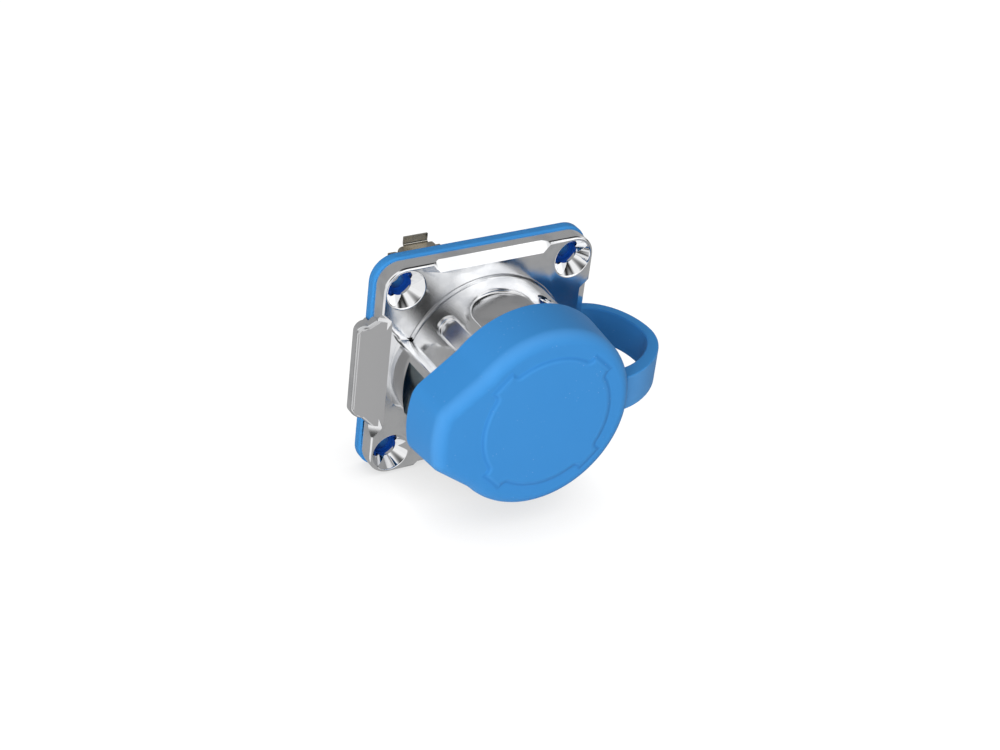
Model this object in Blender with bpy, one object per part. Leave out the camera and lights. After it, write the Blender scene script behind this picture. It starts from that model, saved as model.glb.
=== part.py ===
"""Square-flange USB feedthrough coupler with a tethered dust cap.

A die-cast housing carries a back-to-back pair of type A receptacles in two plastic
carriers. An elastomer gasket seals the flange to a panel, and an elastomer cap on a
strap closes the front.

Frame: the origin is the middle of the four screw holes on the panel's front face,
which is the gasket's rear face. The front of the coupler looks along -Y, +Z is up and
+X is to the right as seen from the front. The latch side of the coupler is at -X.
"""
import math

import bmesh
import bpy
from mathutils import Matrix, Vector

MM = 0.001
DEGREE = math.pi / 180

# Fits
CLEARANCE = 0.3 * MM
OVERRUN = 1.0 * MM

# Flange
HOLE_SPACING = 25.0 * MM
SCREW_HOLE_DIAMETER = 3.2 * MM
COUNTERSINK_DIAMETER = 5.5 * MM
COUNTERSINK_DEPTH = 1.6 * MM
HOLE_RIM_WIDTH = 0.45 * MM
FLANGE_THICKNESS = 2.5 * MM
FLANGE_EDGE_RADIUS = 0.4 * MM
EDGE_CHAMFER_WIDTH = 1.45 * MM
EDGE_CHAMFER_DEPTH = 0.9 * MM
BOSS_LENGTH = 8.0 * MM
BOSS_END_SLOPE = 0.95

# Finger pad on the latch side of the flange
PAD_LENGTH = 16.0 * MM
PAD_REACH = 2.2 * MM
PAD_START = 1.6 * MM
PAD_TAPER = 0.9 * MM
PAD_CORNER = 0.7 * MM
PAD_SLOPE = 29 * DEGREE
PAD_EDGE_RADIUS = 0.45 * MM
PAD_NOSE_DEPTH = 0.9 * MM
PAD_CHAMFER_DEPTH = 1.1 * MM
LATCH_RECESS_DEPTH = 0.4 * MM

# Collar, its latch guard and its keyways
COLLAR_WALL = 1.9 * MM
COLLAR_LENGTH = 14.3 * MM
COLLAR_CHAMFER = 0.5 * MM
COLLAR_GROOVE_WIDTH = 0.25 * MM
COLLAR_GROOVE_DEPTH = 0.3 * MM
SHOULDER_WIDTH = 0.8 * MM
GUARD_HEIGHT = 1.55 * MM
GUARD_WIDTH = 9.7 * MM
GUARD_SETBACK = 0.8 * MM
GUARD_CHEEK = 0.95 * MM
WINDOW_START = 3.15 * MM
WINDOW_FRONT_BAR = 1.95 * MM
KEYWAY_DEPTH = 0.8 * MM
WIDE_KEYWAY_WIDTH = 8.6 * MM
WIDE_KEYWAY_START = 2.5 * MM
WIDE_KEYWAY_ANGLE = 100 * DEGREE
LEFT_KEYWAY_WIDTH = 3.2 * MM
LEFT_KEYWAY_START = 2.4 * MM
LEFT_KEYWAY_ANGLE = 134 * DEGREE
RIGHT_KEYWAY_WIDTH = 2.2 * MM
RIGHT_KEYWAY_START = 4.8 * MM
RIGHT_KEYWAY_ANGLE = 66 * DEGREE

# Rear barrel
BARREL_WALL = 1.8 * MM
BARREL_LENGTH = 6.0 * MM
SHOULDER_AHEAD = 9.0 * MM

# Gasket
GASKET_THICKNESS = 1.5 * MM
GASKET_OVERHANG = 0.3 * MM
GASKET_HOLE_DIAMETER = 2.0 * MM

# Dust cap
CAP_WALL = 0.97 * MM
CAP_FRONT_THICKNESS = 2.35 * MM
CAP_GRIP_LENGTH = 4.6 * MM
CAP_DRAFT = 0.4 * MM
CAP_INNER_DRAFT = 0.25 * MM
CAP_EDGE_RADIUS = 1.8 * MM
CAP_RIM_RADIUS = 0.35 * MM
CAP_NOSE_ROOM = 1.55 * MM
CAP_NOSE_TURN = 9.3 * DEGREE
CAP_CORNER_EXTRA = 0.95 * MM
CAP_FLANK_DROP = 0.3 * MM
CAP_FILLET_RADIUS = 5.7 * MM
RELIEF_DIAMETER = 18.6 * MM
RELIEF_HEIGHT = 0.25 * MM
RELIEF_FILLET_RADIUS = 0.9 * MM
RELIEF_SPOKE_WIDTH = 3.2 * MM
RELIEF_SPOKE_END = 0.5 * MM

# Strap
STRAP_WIDTH = 5.2 * MM
STRAP_THICKNESS = 1.5 * MM
STRAP_END_THICKNESS = 2.3 * MM
STRAP_REACH = 6.6 * MM
STRAP_EDGE_RADIUS = 0.3 * MM
STRAP_END_SETBACK = 3.25 * MM
STRAP_END_PULL = 0.42
STRAP_SIDE_PULL = 0.55

# Type A receptacles, one at each end, with their long side along Z
PORT_OPENING_WIDTH = 5.12 * MM
PORT_OPENING_LENGTH = 12.5 * MM
SHELL_THICKNESS = 0.3 * MM
PORT_DEPTH = 13.7 * MM
LIP_REACH = 1.2 * MM
LIP_INSET = 1.0 * MM
TONGUE_THICKNESS = 1.84 * MM
TONGUE_MARGIN = 0.7 * MM
TONGUE_SETBACK = 1.3 * MM
TONGUE_OFFSET = -0.9 * MM
PORT_BASE_LENGTH = 4.4 * MM
CONTACT_WIDTH = 1.0 * MM
CONTACT_THICKNESS = 0.25 * MM
CONTACT_SETBACK = 0.8 * MM
CONTACT_PLACES = (-3.5 * MM, -1.0 * MM, 1.0 * MM, 3.5 * MM)

# Carriers and what holds them
CARRIER_WALL = 2.15 * MM
CARRIER_PLAY = 0.5 * MM
REAR_BOSS_END = 10.0 * MM
RING_WIDTH = 1.3 * MM
RING_THICKNESS = 1.5 * MM
SEAL_THICKNESS = 0.8 * MM
SEAL_SETBACK = 2.8 * MM
BOARD_THICKNESS = 1.6 * MM
BOARD_SIDE_MARGIN = 1.15 * MM
BOARD_END_MARGIN = 0.95 * MM

ROUND_STEPS = 72
HOLE_STEPS = 32
SEAL_STEPS = 8
CAP_RIM_STEPS = 4
CAP_EDGE_STEPS = 6
STRAP_STEPS = 28

# Values that follow from the sizes above
HOLE_PLACE = HOLE_SPACING / 2
EDGE_DISTANCE = COUNTERSINK_DIAMETER / 2 + HOLE_RIM_WIDTH
FLANGE_HALF = HOLE_PLACE + EDGE_DISTANCE
FLANGE_REAR_Y = -GASKET_THICKNESS
FLANGE_FRONT_Y = FLANGE_REAR_Y - FLANGE_THICKNESS
SHELL_HALF_X = PORT_OPENING_WIDTH / 2 + SHELL_THICKNESS
SHELL_HALF_Z = PORT_OPENING_LENGTH / 2 + SHELL_THICKNESS
PORT_CORNER_RADIUS = math.hypot(SHELL_HALF_X + CLEARANCE, SHELL_HALF_Z + CLEARANCE)
CARRIER_RADIUS = PORT_CORNER_RADIUS + CARRIER_WALL
INSERT_BORE_RADIUS = CARRIER_RADIUS + CARRIER_PLAY
PLUG_BORE_RADIUS = INSERT_BORE_RADIUS - SHOULDER_WIDTH
COLLAR_RADIUS = INSERT_BORE_RADIUS + COLLAR_WALL
BARREL_RADIUS = INSERT_BORE_RADIUS + BARREL_WALL
GUARD_RADIUS = COLLAR_RADIUS + GUARD_HEIGHT
GUARD_HALF_ANGLE = math.asin(GUARD_WIDTH / 2 / GUARD_RADIUS)
RING_OUTER_RADIUS = INSERT_BORE_RADIUS - CLEARANCE
RING_INNER_RADIUS = RING_OUTER_RADIUS - RING_WIDTH
REAR_BOSS_RADIUS = RING_INNER_RADIUS - CLEARANCE
CAP_INNER_RADIUS = COLLAR_RADIUS + CLEARANCE
CAP_RADIUS = CAP_INNER_RADIUS + CAP_WALL
CAP_CORNER_RADIUS = CAP_EDGE_RADIUS + CAP_DRAFT + CAP_CORNER_EXTRA
CAP_NOSE_RADIUS = CAP_RADIUS + GUARD_HEIGHT + CAP_NOSE_ROOM
BOARD_HALF_X = SHELL_HALF_X + BOARD_SIDE_MARGIN
BOARD_HALF_Z = SHELL_HALF_Z + BOARD_END_MARGIN


def ahead(distance):
    """Y of a point this far in front of the flange's front face."""
    return FLANGE_FRONT_Y - distance


COLLAR_FRONT_Y = ahead(COLLAR_LENGTH)
SHOULDER_Y = ahead(SHOULDER_AHEAD)
CARRIER_FRONT_Y = SHOULDER_Y + CLEARANCE
FRONT_MOUTH_Y = CARRIER_FRONT_Y - CLEARANCE - SHELL_THICKNESS
BOARD_FRONT_Y = FRONT_MOUTH_Y + PORT_DEPTH + CLEARANCE
BOARD_REAR_Y = BOARD_FRONT_Y + BOARD_THICKNESS
REAR_MOUTH_Y = BOARD_REAR_Y + CLEARANCE + PORT_DEPTH
CAP_INSIDE_Y = COLLAR_FRONT_Y - CLEARANCE
CAP_FRONT_Y = CAP_INSIDE_Y - CAP_FRONT_THICKNESS
CAP_SKIRT_Y = COLLAR_FRONT_Y + CAP_GRIP_LENGTH
SEAL_Y = BOARD_FRONT_Y - CLEARANCE - SEAL_SETBACK


def clear_scene():
    for old in list(bpy.data.objects):
        bpy.data.objects.remove(old, do_unlink=True)


def new_collection(name):
    collection = bpy.data.collections.new(name)
    bpy.context.scene.collection.children.link(collection)
    return collection


def new_material(name, colour, roughness, metallic):
    material = bpy.data.materials.new(name)
    material.use_nodes = True
    shader = material.node_tree.nodes["Principled BSDF"]
    shader.inputs["Base Color"].default_value = (*colour, 1)
    shader.inputs["Roughness"].default_value = roughness
    shader.inputs["Metallic"].default_value = metallic
    return material


clear_scene()
PARTS = new_collection("usb_feedthrough_coupler")
CUTTERS = new_collection("cutters")

CHROME = new_material("polished_die_casting", (0.78, 0.78, 0.80), 0.12, 1.0)
BLUE_RUBBER = new_material("blue_elastomer", (0.07, 0.30, 0.66), 0.5, 0.0)
SEAL_RUBBER = new_material("black_elastomer", (0.02, 0.02, 0.02), 0.6, 0.0)
DARK_PLASTIC = new_material("dark_moulded_plastic", (0.03, 0.035, 0.04), 0.45, 0.0)
WHITE_PLASTIC = new_material("white_moulded_plastic", (0.75, 0.75, 0.73), 0.4, 0.0)
NICKEL = new_material("nickel_plated_sheet", (0.62, 0.58, 0.50), 0.25, 1.0)
GOLD = new_material("gold_plated_contact", (0.83, 0.62, 0.25), 0.2, 1.0)
BRASS = new_material("plated_ring", (0.70, 0.68, 0.62), 0.3, 1.0)
BOARD_GREEN = new_material("board_laminate", (0.03, 0.17, 0.07), 0.45, 0.0)


def add_object(name, bm, material, collection):
    """Puts a bmesh into an object with outward faces, smooth across shallow edges."""
    bmesh.ops.recalc_face_normals(bm, faces=bm.faces)
    mesh = bpy.data.meshes.new(name)
    bm.to_mesh(mesh)
    bm.free()
    mesh.shade_smooth()
    mesh.set_sharp_from_angle(angle=35 * DEGREE)
    made = bpy.data.objects.new(name, mesh)
    collection.objects.link(made)
    if material:
        made.data.materials.append(material)
    return made


def part(name, bm, material):
    return add_object(name, bm, material, PARTS)


def tool(name, bm):
    """A solid that only shapes another one, left out of renders."""
    made = add_object(name, bm, None, CUTTERS)
    made.hide_render = True
    made.display_type = "WIRE"
    return made


def combine(target, other, operation):
    modifier = target.modifiers.new(other.name, "BOOLEAN")
    modifier.operation = operation
    modifier.solver = "EXACT"
    modifier.object = other


def cut(target, cutter):
    combine(target, cutter, "DIFFERENCE")


def join(target, addition):
    combine(target, addition, "UNION")


def box(low, high):
    bm = bmesh.new()
    middle = (Vector(low) + Vector(high)) / 2
    size = Vector(high) - Vector(low)
    place = Matrix.Translation(middle) @ Matrix.Diagonal((*size, 1))
    bmesh.ops.create_cube(bm, size=1, matrix=place)
    return bm


def cylinder(radius, y_start, y_end, steps, x=0.0, z=0.0):
    """A cylinder along Y."""
    bm = bmesh.new()
    middle = Matrix.Translation((x, (y_start + y_end) / 2, z))
    along_y = Matrix.Rotation(math.pi / 2, 4, "X")
    bmesh.ops.create_cone(
        bm, cap_ends=True, segments=steps, radius1=radius, radius2=radius,
        depth=abs(y_end - y_start), matrix=middle @ along_y)
    return bm


def prism(outline, y_start, y_end):
    """Extrudes an outline of (x, z) points along Y."""
    bm = bmesh.new()
    base = bm.faces.new([bm.verts.new((x, y_start, z)) for x, z in outline])
    swept = bmesh.ops.extrude_face_region(bm, geom=[base])
    moved = [item for item in swept["geom"] if isinstance(item, bmesh.types.BMVert)]
    bmesh.ops.translate(bm, verts=moved, vec=(0, y_end - y_start, 0))
    return bm


def loft(sections):
    """Joins sections of (y, outline) with equal counts and closes both ends."""
    bm = bmesh.new()
    loops = []
    for y, outline in sections:
        loops.append([bm.verts.new((x, y, z)) for x, z in outline])
    count = len(loops[0])
    for near, far in zip(loops, loops[1:]):
        for i in range(count):
            following = (i + 1) % count
            bm.faces.new((near[i], near[following], far[following], far[i]))
    bm.faces.new(loops[0])
    bm.faces.new(loops[-1])
    return bm


def turned(profile, steps):
    """Turns a closed profile of (radius, y) points about the Y axis."""
    bm = bmesh.new()
    verts = [bm.verts.new((radius, y, 0)) for radius, y in profile]
    edges = [bm.edges.new((a, b)) for a, b in zip(verts, verts[1:] + verts[:1])]
    bmesh.ops.spin(
        bm, geom=verts + edges, cent=(0, 0, 0), axis=(0, 1, 0),
        angle=2 * math.pi, steps=steps, use_merge=True)
    bmesh.ops.remove_doubles(bm, verts=bm.verts, dist=0.00001)
    return bm


def arc(centre, radius, start, end, steps):
    """Points of an arc in the XZ plane, both ends included."""
    points = []
    for i in range(steps + 1):
        angle = start + (end - start) * i / steps
        points.append((centre[0] + radius * math.cos(angle),
                       centre[1] + radius * math.sin(angle)))
    return points


def rounded_rectangle(half_x, half_z, radius, steps):
    points = []
    corners = ((1, 1), (-1, 1), (-1, -1), (1, -1))
    for quarter, (side_x, side_z) in enumerate(corners):
        centre = (side_x * (half_x - radius), side_z * (half_z - radius))
        start = quarter * math.pi / 2
        points += arc(centre, radius, start, start + math.pi / 2, steps)
    return points


def bevel_edges(bm, wanted, width, segments):
    edges = [edge for edge in bm.edges if wanted(edge)]
    bmesh.ops.bevel(
        bm, geom=edges, offset=width, offset_type="OFFSET", affect="EDGES",
        segments=segments, profile=0.5, material=-1, clamp_overlap=True)


def edge_at_y(y):
    """Tests whether both ends of an edge lie at this Y."""
    return lambda edge: all(abs(vert.co.y - y) < 0.01 * MM for vert in edge.verts)


def hole_places():
    return [(sx * HOLE_PLACE, sz * HOLE_PLACE) for sx in (-1, 1) for sz in (-1, 1)]


def edge_chamfer(name, turn, depth, half):
    """Wedge that slopes one flange edge back, with a ramp up to the boss at each end."""
    slope = depth / EDGE_CHAMFER_WIDTH
    inner = FLANGE_HALF - EDGE_CHAMFER_WIDTH
    low = inner - CLEARANCE
    high = FLANGE_HALF + OVERRUN
    low_half = half + BOSS_END_SLOPE * (OVERRUN / slope - CLEARANCE)
    high_half = half + BOSS_END_SLOPE * (OVERRUN / slope + high - inner)
    outline = [(-low_half, low), (low_half, low), (high_half, high), (-high_half, high)]
    bm = prism(outline, FLANGE_FRONT_Y - OVERRUN, FLANGE_FRONT_Y)
    for vert in bm.verts:
        if vert.co.y > FLANGE_FRONT_Y - OVERRUN / 2:
            vert.co.y = FLANGE_FRONT_Y + slope * (vert.co.z - inner)
            vert.co.x = math.copysign(half, vert.co.x)
    bmesh.ops.rotate(bm, verts=bm.verts, cent=(0, 0, 0), matrix=Matrix.Rotation(turn, 3, "Y"))
    return tool(name, bm)


def finger_pad():
    """Sloping pad whose nose stands out past the flange edge on the latch side."""
    start = FLANGE_HALF - PAD_START
    tip = FLANGE_HALF + PAD_REACH
    half = PAD_LENGTH / 2
    shoulder = tip - PAD_CORNER
    shoulder_half = half - PAD_TAPER
    tip_half = shoulder_half - PAD_CORNER
    outline = [(-start, half), (-FLANGE_HALF, half), (-shoulder, shoulder_half),
               (-tip, tip_half), (-tip, -tip_half), (-shoulder, -shoulder_half),
               (-FLANGE_HALF, -half), (-start, -half)]
    bm = prism(outline, FLANGE_FRONT_Y, FLANGE_REAR_Y + PAD_NOSE_DEPTH)
    slope = math.tan(PAD_SLOPE)
    for vert in bm.verts:
        if vert.co.y < FLANGE_FRONT_Y + CLEARANCE:
            vert.co.y = FLANGE_FRONT_Y + slope * (-vert.co.x - start)

    def outer_front(edge):
        far = all(vert.co.x < -FLANGE_HALF - CLEARANCE for vert in edge.verts)
        return far and all(vert.co.y < FLANGE_REAR_Y - CLEARANCE for vert in edge.verts)

    bevel_edges(bm, outer_front, PAD_EDGE_RADIUS, 3)
    pad = tool("finger_pad", bm)
    gasket_edge = FLANGE_HALF + GASKET_OVERHANG + CLEARANCE
    room = box((-gasket_edge, FLANGE_REAR_Y, -half - OVERRUN), (0, OVERRUN, half + OVERRUN))
    cut(pad, tool("gasket_room", room))
    return pad


def latch_recess():
    """Shallow sunken field between the finger pad and the latch guard."""
    start = FLANGE_HALF - PAD_START
    wide = PAD_LENGTH / 2
    narrow = GUARD_WIDTH / 2
    inner = COLLAR_RADIUS * math.cos(math.asin(narrow / COLLAR_RADIUS))
    outline = [(-start, -wide), (-inner, -narrow), (-inner, narrow), (-start, wide),
               (-start - PAD_START, wide), (-start - PAD_START, -wide)]
    bm = prism(outline, FLANGE_FRONT_Y - OVERRUN, FLANGE_FRONT_Y + LATCH_RECESS_DEPTH)
    return tool("latch_recess", bm)


def latch_guard():
    """Raised wall on the latch side of the collar, round about the collar's axis."""
    outline = arc((0, 0), GUARD_RADIUS, math.pi - GUARD_HALF_ANGLE, math.pi + GUARD_HALF_ANGLE, 14)
    root = (PLUG_BORE_RADIUS + COLLAR_RADIUS) / 2 * math.cos(GUARD_HALF_ANGLE)
    outline += [(-root, -GUARD_WIDTH / 2), (-root, GUARD_WIDTH / 2)]
    front = COLLAR_FRONT_Y + GUARD_SETBACK
    return tool("latch_guard", prism(outline, front, FLANGE_REAR_Y - CLEARANCE))


def keyway(name, width, start, angle):
    """Flat-bottomed groove in the collar with a round end, open at the front."""
    floor = COLLAR_RADIUS - KEYWAY_DEPTH
    top = COLLAR_RADIUS + OVERRUN
    centre = start + width / 2
    outline = arc((0, -centre), width / 2, 0, math.pi, 16)
    outline += [(-width / 2, -COLLAR_LENGTH - OVERRUN), (width / 2, -COLLAR_LENGTH - OVERRUN)]
    bm = bmesh.new()
    base = bm.faces.new([bm.verts.new((t, FLANGE_FRONT_Y + y, floor)) for t, y in outline])
    swept = bmesh.ops.extrude_face_region(bm, geom=[base])
    moved = [item for item in swept["geom"] if isinstance(item, bmesh.types.BMVert)]
    bmesh.ops.translate(bm, verts=moved, vec=(0, 0, top - floor))
    turn = Matrix.Rotation(math.pi / 2 - angle, 3, "Y")
    bmesh.ops.rotate(bm, verts=bm.verts, cent=(0, 0, 0), matrix=turn)
    return tool(name, bm)


def screw_hole(name, x, z):
    radius = SCREW_HOLE_DIAMETER / 2
    rim = COUNTERSINK_DIAMETER / 2
    widening = (rim - radius) / COUNTERSINK_DEPTH
    profile = [
        (0, FLANGE_FRONT_Y - OVERRUN), (rim + widening * OVERRUN, FLANGE_FRONT_Y - OVERRUN),
        (radius, FLANGE_FRONT_Y + COUNTERSINK_DEPTH), (radius, FLANGE_REAR_Y + OVERRUN),
        (0, FLANGE_REAR_Y + OVERRUN)]
    bm = turned_solid(profile, HOLE_STEPS)
    bmesh.ops.translate(bm, verts=bm.verts, vec=(x, 0, z))
    return tool(name, bm)


def turned_solid(profile, steps):
    """Turns an open profile, whose ends lie on the Y axis, into a closed solid."""
    bm = bmesh.new()
    verts = [bm.verts.new((radius, y, 0)) for radius, y in profile]
    edges = [bm.edges.new((a, b)) for a, b in zip(verts, verts[1:])]
    bmesh.ops.spin(
        bm, geom=verts + edges, cent=(0, 0, 0), axis=(0, 1, 0),
        angle=2 * math.pi, steps=steps, use_merge=True)
    bmesh.ops.remove_doubles(bm, verts=bm.verts, dist=0.00001)
    return bm


def housing_bore():
    """Plug bore in front of the shoulder and insert bore behind it."""
    profile = [
        (0, COLLAR_FRONT_Y - OVERRUN), (PLUG_BORE_RADIUS + OVERRUN, COLLAR_FRONT_Y - OVERRUN),
        (PLUG_BORE_RADIUS, COLLAR_FRONT_Y + CLEARANCE), (PLUG_BORE_RADIUS, SHOULDER_Y),
        (INSERT_BORE_RADIUS, SHOULDER_Y), (INSERT_BORE_RADIUS, BARREL_LENGTH + OVERRUN),
        (0, BARREL_LENGTH + OVERRUN)]
    return tool("housing_bore", turned_solid(profile, ROUND_STEPS))


def collar_solid():
    profile = [
        (0, COLLAR_FRONT_Y), (COLLAR_RADIUS - COLLAR_CHAMFER, COLLAR_FRONT_Y),
        (COLLAR_RADIUS, COLLAR_FRONT_Y + COLLAR_CHAMFER),
        (COLLAR_RADIUS, FLANGE_REAR_Y - CLEARANCE), (0, FLANGE_REAR_Y - CLEARANCE)]
    return tool("collar_solid", turned_solid(profile, ROUND_STEPS))


def collar_groove():
    outer = COLLAR_RADIUS + COLLAR_GROOVE_WIDTH
    floor = FLANGE_FRONT_Y + COLLAR_GROOVE_DEPTH
    front = FLANGE_FRONT_Y - OVERRUN / 2
    profile = [(COLLAR_RADIUS, front), (outer, front), (outer, floor), (COLLAR_RADIUS, floor)]
    return tool("collar_groove", turned(profile, ROUND_STEPS))


def flange_housing():
    """Flange, collar, latch guard, finger pad and rear barrel, cast in one."""
    outline = rounded_rectangle(FLANGE_HALF, FLANGE_HALF, EDGE_DISTANCE, 8)
    plate = prism(outline, FLANGE_FRONT_Y, FLANGE_REAR_Y)
    bevel_edges(plate, edge_at_y(FLANGE_FRONT_Y), FLANGE_EDGE_RADIUS, 3)
    housing = part("flange_housing", plate, CHROME)
    for name, turn in (("top", 0), ("right", 90), ("bottom", 180)):
        cut(housing, edge_chamfer(name + "_edge_chamfer", turn * DEGREE,
                                  EDGE_CHAMFER_DEPTH, FLANGE_HALF - BOSS_LENGTH))
    cut(housing, edge_chamfer("pad_edge_chamfer", 270 * DEGREE,
                              PAD_CHAMFER_DEPTH, PAD_LENGTH / 2 + CLEARANCE))
    cut(housing, latch_recess())
    join(housing, finger_pad())
    cut(housing, collar_groove())
    join(housing, collar_solid())
    join(housing, latch_guard())
    barrel = cylinder(BARREL_RADIUS, FLANGE_FRONT_Y + OVERRUN, BARREL_LENGTH, ROUND_STEPS)
    join(housing, tool("rear_barrel", barrel))
    cut(housing, housing_bore())
    for number, (x, z) in enumerate(hole_places(), 1):
        cut(housing, screw_hole(f"screw_hole_{number}", x, z))
    cut(housing, keyway("wide_keyway", WIDE_KEYWAY_WIDTH, WIDE_KEYWAY_START, WIDE_KEYWAY_ANGLE))
    cut(housing, keyway("left_keyway", LEFT_KEYWAY_WIDTH, LEFT_KEYWAY_START, LEFT_KEYWAY_ANGLE))
    cut(housing, keyway("right_keyway", RIGHT_KEYWAY_WIDTH, RIGHT_KEYWAY_START, RIGHT_KEYWAY_ANGLE))
    half = GUARD_WIDTH / 2 - GUARD_CHEEK
    inside = PLUG_BORE_RADIUS - OVERRUN
    window_front = COLLAR_FRONT_Y + GUARD_SETBACK + WINDOW_FRONT_BAR
    window = box((-GUARD_RADIUS - OVERRUN, window_front, -half),
                 (-inside, ahead(WINDOW_START), half))
    cut(housing, tool("latch_window", window))
    return housing


def panel_gasket():
    half = FLANGE_HALF + GASKET_OVERHANG
    outline = rounded_rectangle(half, half, EDGE_DISTANCE + GASKET_OVERHANG, 8)
    bm = prism(outline, FLANGE_REAR_Y + CLEARANCE / 10, 0)
    gasket = part("panel_gasket", bm, BLUE_RUBBER)
    opening = BARREL_RADIUS + CLEARANCE
    cut(gasket, tool("gasket_opening", cylinder(
        opening, FLANGE_REAR_Y - OVERRUN, OVERRUN, ROUND_STEPS)))
    for number, (x, z) in enumerate(hole_places(), 1):
        bm = cylinder(GASKET_HOLE_DIAMETER / 2, FLANGE_REAR_Y - OVERRUN, OVERRUN, HOLE_STEPS, x, z)
        cut(gasket, tool(f"gasket_hole_{number}", bm))
    return gasket


def cap_outline(inset):
    """Outline of the cap: a circle with a rounded nose at -X, drawn inwards by inset."""
    corner_angle = math.pi - GUARD_HALF_ANGLE + CAP_NOSE_TURN
    corner_distance = CAP_NOSE_RADIUS - CAP_CORNER_RADIUS
    flank = CAP_RADIUS - CAP_FLANK_DROP
    flank_angle = corner_angle - math.acos((flank - CAP_CORNER_RADIUS) / corner_distance)
    corner = Vector((math.cos(corner_angle), math.sin(corner_angle))) * corner_distance
    normal = Vector((math.cos(flank_angle), math.sin(flank_angle)))
    along = Vector((-normal.y, normal.x))
    reach = flank + CAP_FILLET_RADIUS
    distance = CAP_RADIUS + CAP_FILLET_RADIUS
    fillet = normal * reach + along * math.sqrt(distance ** 2 - reach ** 2)
    body_angle = math.atan2(fillet.y, fillet.x)

    radius = CAP_RADIUS - inset
    upper = arc((0, 0), radius, 0, body_angle, 30)
    upper += arc(fillet, CAP_FILLET_RADIUS + inset, body_angle - math.pi,
                 flank_angle - math.pi, 3)
    upper += arc(corner, CAP_CORNER_RADIUS - inset, flank_angle, corner_angle, 7)
    upper += arc((0, 0), CAP_NOSE_RADIUS - inset, corner_angle, math.pi, 5)[1:]
    lower = [(x, -z) for x, z in reversed(upper[1:-1])]
    return upper + lower


def cap_sections():
    """Sections from the inside of the front wall out over the rim to the front."""
    sections = [(CAP_INSIDE_Y, cap_outline(CAP_WALL + CAP_INNER_DRAFT))]
    for i in range(CAP_RIM_STEPS + 1):
        angle = math.pi * i / CAP_RIM_STEPS
        inset = CAP_WALL / 2 * (1 + math.cos(angle))
        y = CAP_SKIRT_Y - CAP_RIM_RADIUS * (1 - math.sin(angle))
        sections.append((y, cap_outline(inset)))
    for i in range(CAP_EDGE_STEPS + 1):
        angle = math.pi / 2 * i / CAP_EDGE_STEPS
        inset = CAP_DRAFT + CAP_EDGE_RADIUS * (1 - math.cos(angle))
        y = CAP_FRONT_Y + CAP_EDGE_RADIUS * (1 - math.sin(angle))
        sections.append((y, cap_outline(inset)))
    return sections


def cap_relief():
    """Raised disc with four diagonal spokes, filleted where they meet."""
    radius = RELIEF_DIAMETER / 2
    fillet = RELIEF_FILLET_RADIUS
    half = RELIEF_SPOKE_WIDTH / 2
    spoke_end = CAP_RADIUS - CAP_DRAFT - CAP_EDGE_RADIUS - RELIEF_SPOKE_END
    reach = math.sqrt((radius + fillet) ** 2 - (half + fillet) ** 2)
    foot = math.atan2(half + fillet, reach)
    outline = []
    for quarter in range(4):
        middle = math.pi / 4 + quarter * math.pi / 2
        out = Vector((math.cos(middle), math.sin(middle)))
        side = Vector((-out.y, out.x))
        outline += arc((0, 0), radius, middle - math.pi / 2 + foot, middle - foot, 10)
        centre = out * reach - side * (half + fillet)
        outline += arc(centre, fillet, middle - foot + math.pi, middle + math.pi / 2, 3)[1:]
        outline.append(tuple(out * spoke_end - side * half))
        outline.append(tuple(out * spoke_end + side * half))
        centre = out * reach + side * (half + fillet)
        outline += arc(centre, fillet, middle - math.pi / 2, middle + foot - math.pi, 3)[:-1]
    return tool("cap_relief", prism(outline, CAP_FRONT_Y + OVERRUN, CAP_FRONT_Y - RELIEF_HEIGHT))


def dust_cap():
    cap = part("dust_cap", loft(cap_sections()), BLUE_RUBBER)
    join(cap, cap_relief())
    return cap


def cap_strap():
    path = strap_path(STRAP_STEPS)
    left = []
    right = []
    for i, (point, direction) in enumerate(path):
        share = i / (len(path) - 1)
        thickness = STRAP_THICKNESS + (STRAP_END_THICKNESS - STRAP_THICKNESS) * share ** 4
        side = Vector((-direction.y, direction.x)) * thickness / 2
        left.append(point + side)
        right.append(point - side)
    bm = bmesh.new()
    half = STRAP_WIDTH / 2
    ring = [bm.verts.new((p.x, p.y, -half)) for p in left + right[::-1]]
    base = bm.faces.new(ring)
    swept = bmesh.ops.extrude_face_region(bm, geom=[base])
    moved = [item for item in swept["geom"] if isinstance(item, bmesh.types.BMVert)]
    bmesh.ops.translate(bm, verts=moved, vec=(0, 0, STRAP_WIDTH))

    def along_side(edge):
        return abs(edge.verts[0].co.z - edge.verts[1].co.z) < 0.01 * MM

    bevel_edges(bm, along_side, STRAP_EDGE_RADIUS, 2)
    return part("cap_strap", bm, BLUE_RUBBER)


def strap_path(steps):
    """Points and directions along a Bezier chain from the gasket's edge to the cap."""
    root = Vector((FLANGE_HALF + GASKET_OVERHANG + CLEARANCE,
                   FLANGE_REAR_Y + STRAP_THICKNESS / 2))
    end = Vector((CAP_RADIUS + CLEARANCE,
                  CAP_FRONT_Y + STRAP_END_SETBACK))
    far = Vector((FLANGE_HALF + STRAP_REACH, (root.y + end.y) / 2))
    span = abs(far.y - root.y)
    outwards = Vector((span * STRAP_END_PULL, 0))
    rearwards = Vector((0, span * STRAP_SIDE_PULL))
    pieces = [
        (root, root + outwards, far + rearwards, far),
        (far, far - rearwards, end + outwards, end)]
    path = []
    for number, (a, b, c, d) in enumerate(pieces):
        for i in range(number, steps // 2 + 1):
            t = i / (steps // 2)
            u = 1 - t
            point = a * u ** 3 + b * 3 * u * u * t + c * 3 * u * t * t + d * t ** 3
            tangent = (b - a) * u * u + (c - b) * 2 * u * t + (d - c) * t * t
            path.append((point, tangent.normalized()))
    return path


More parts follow.
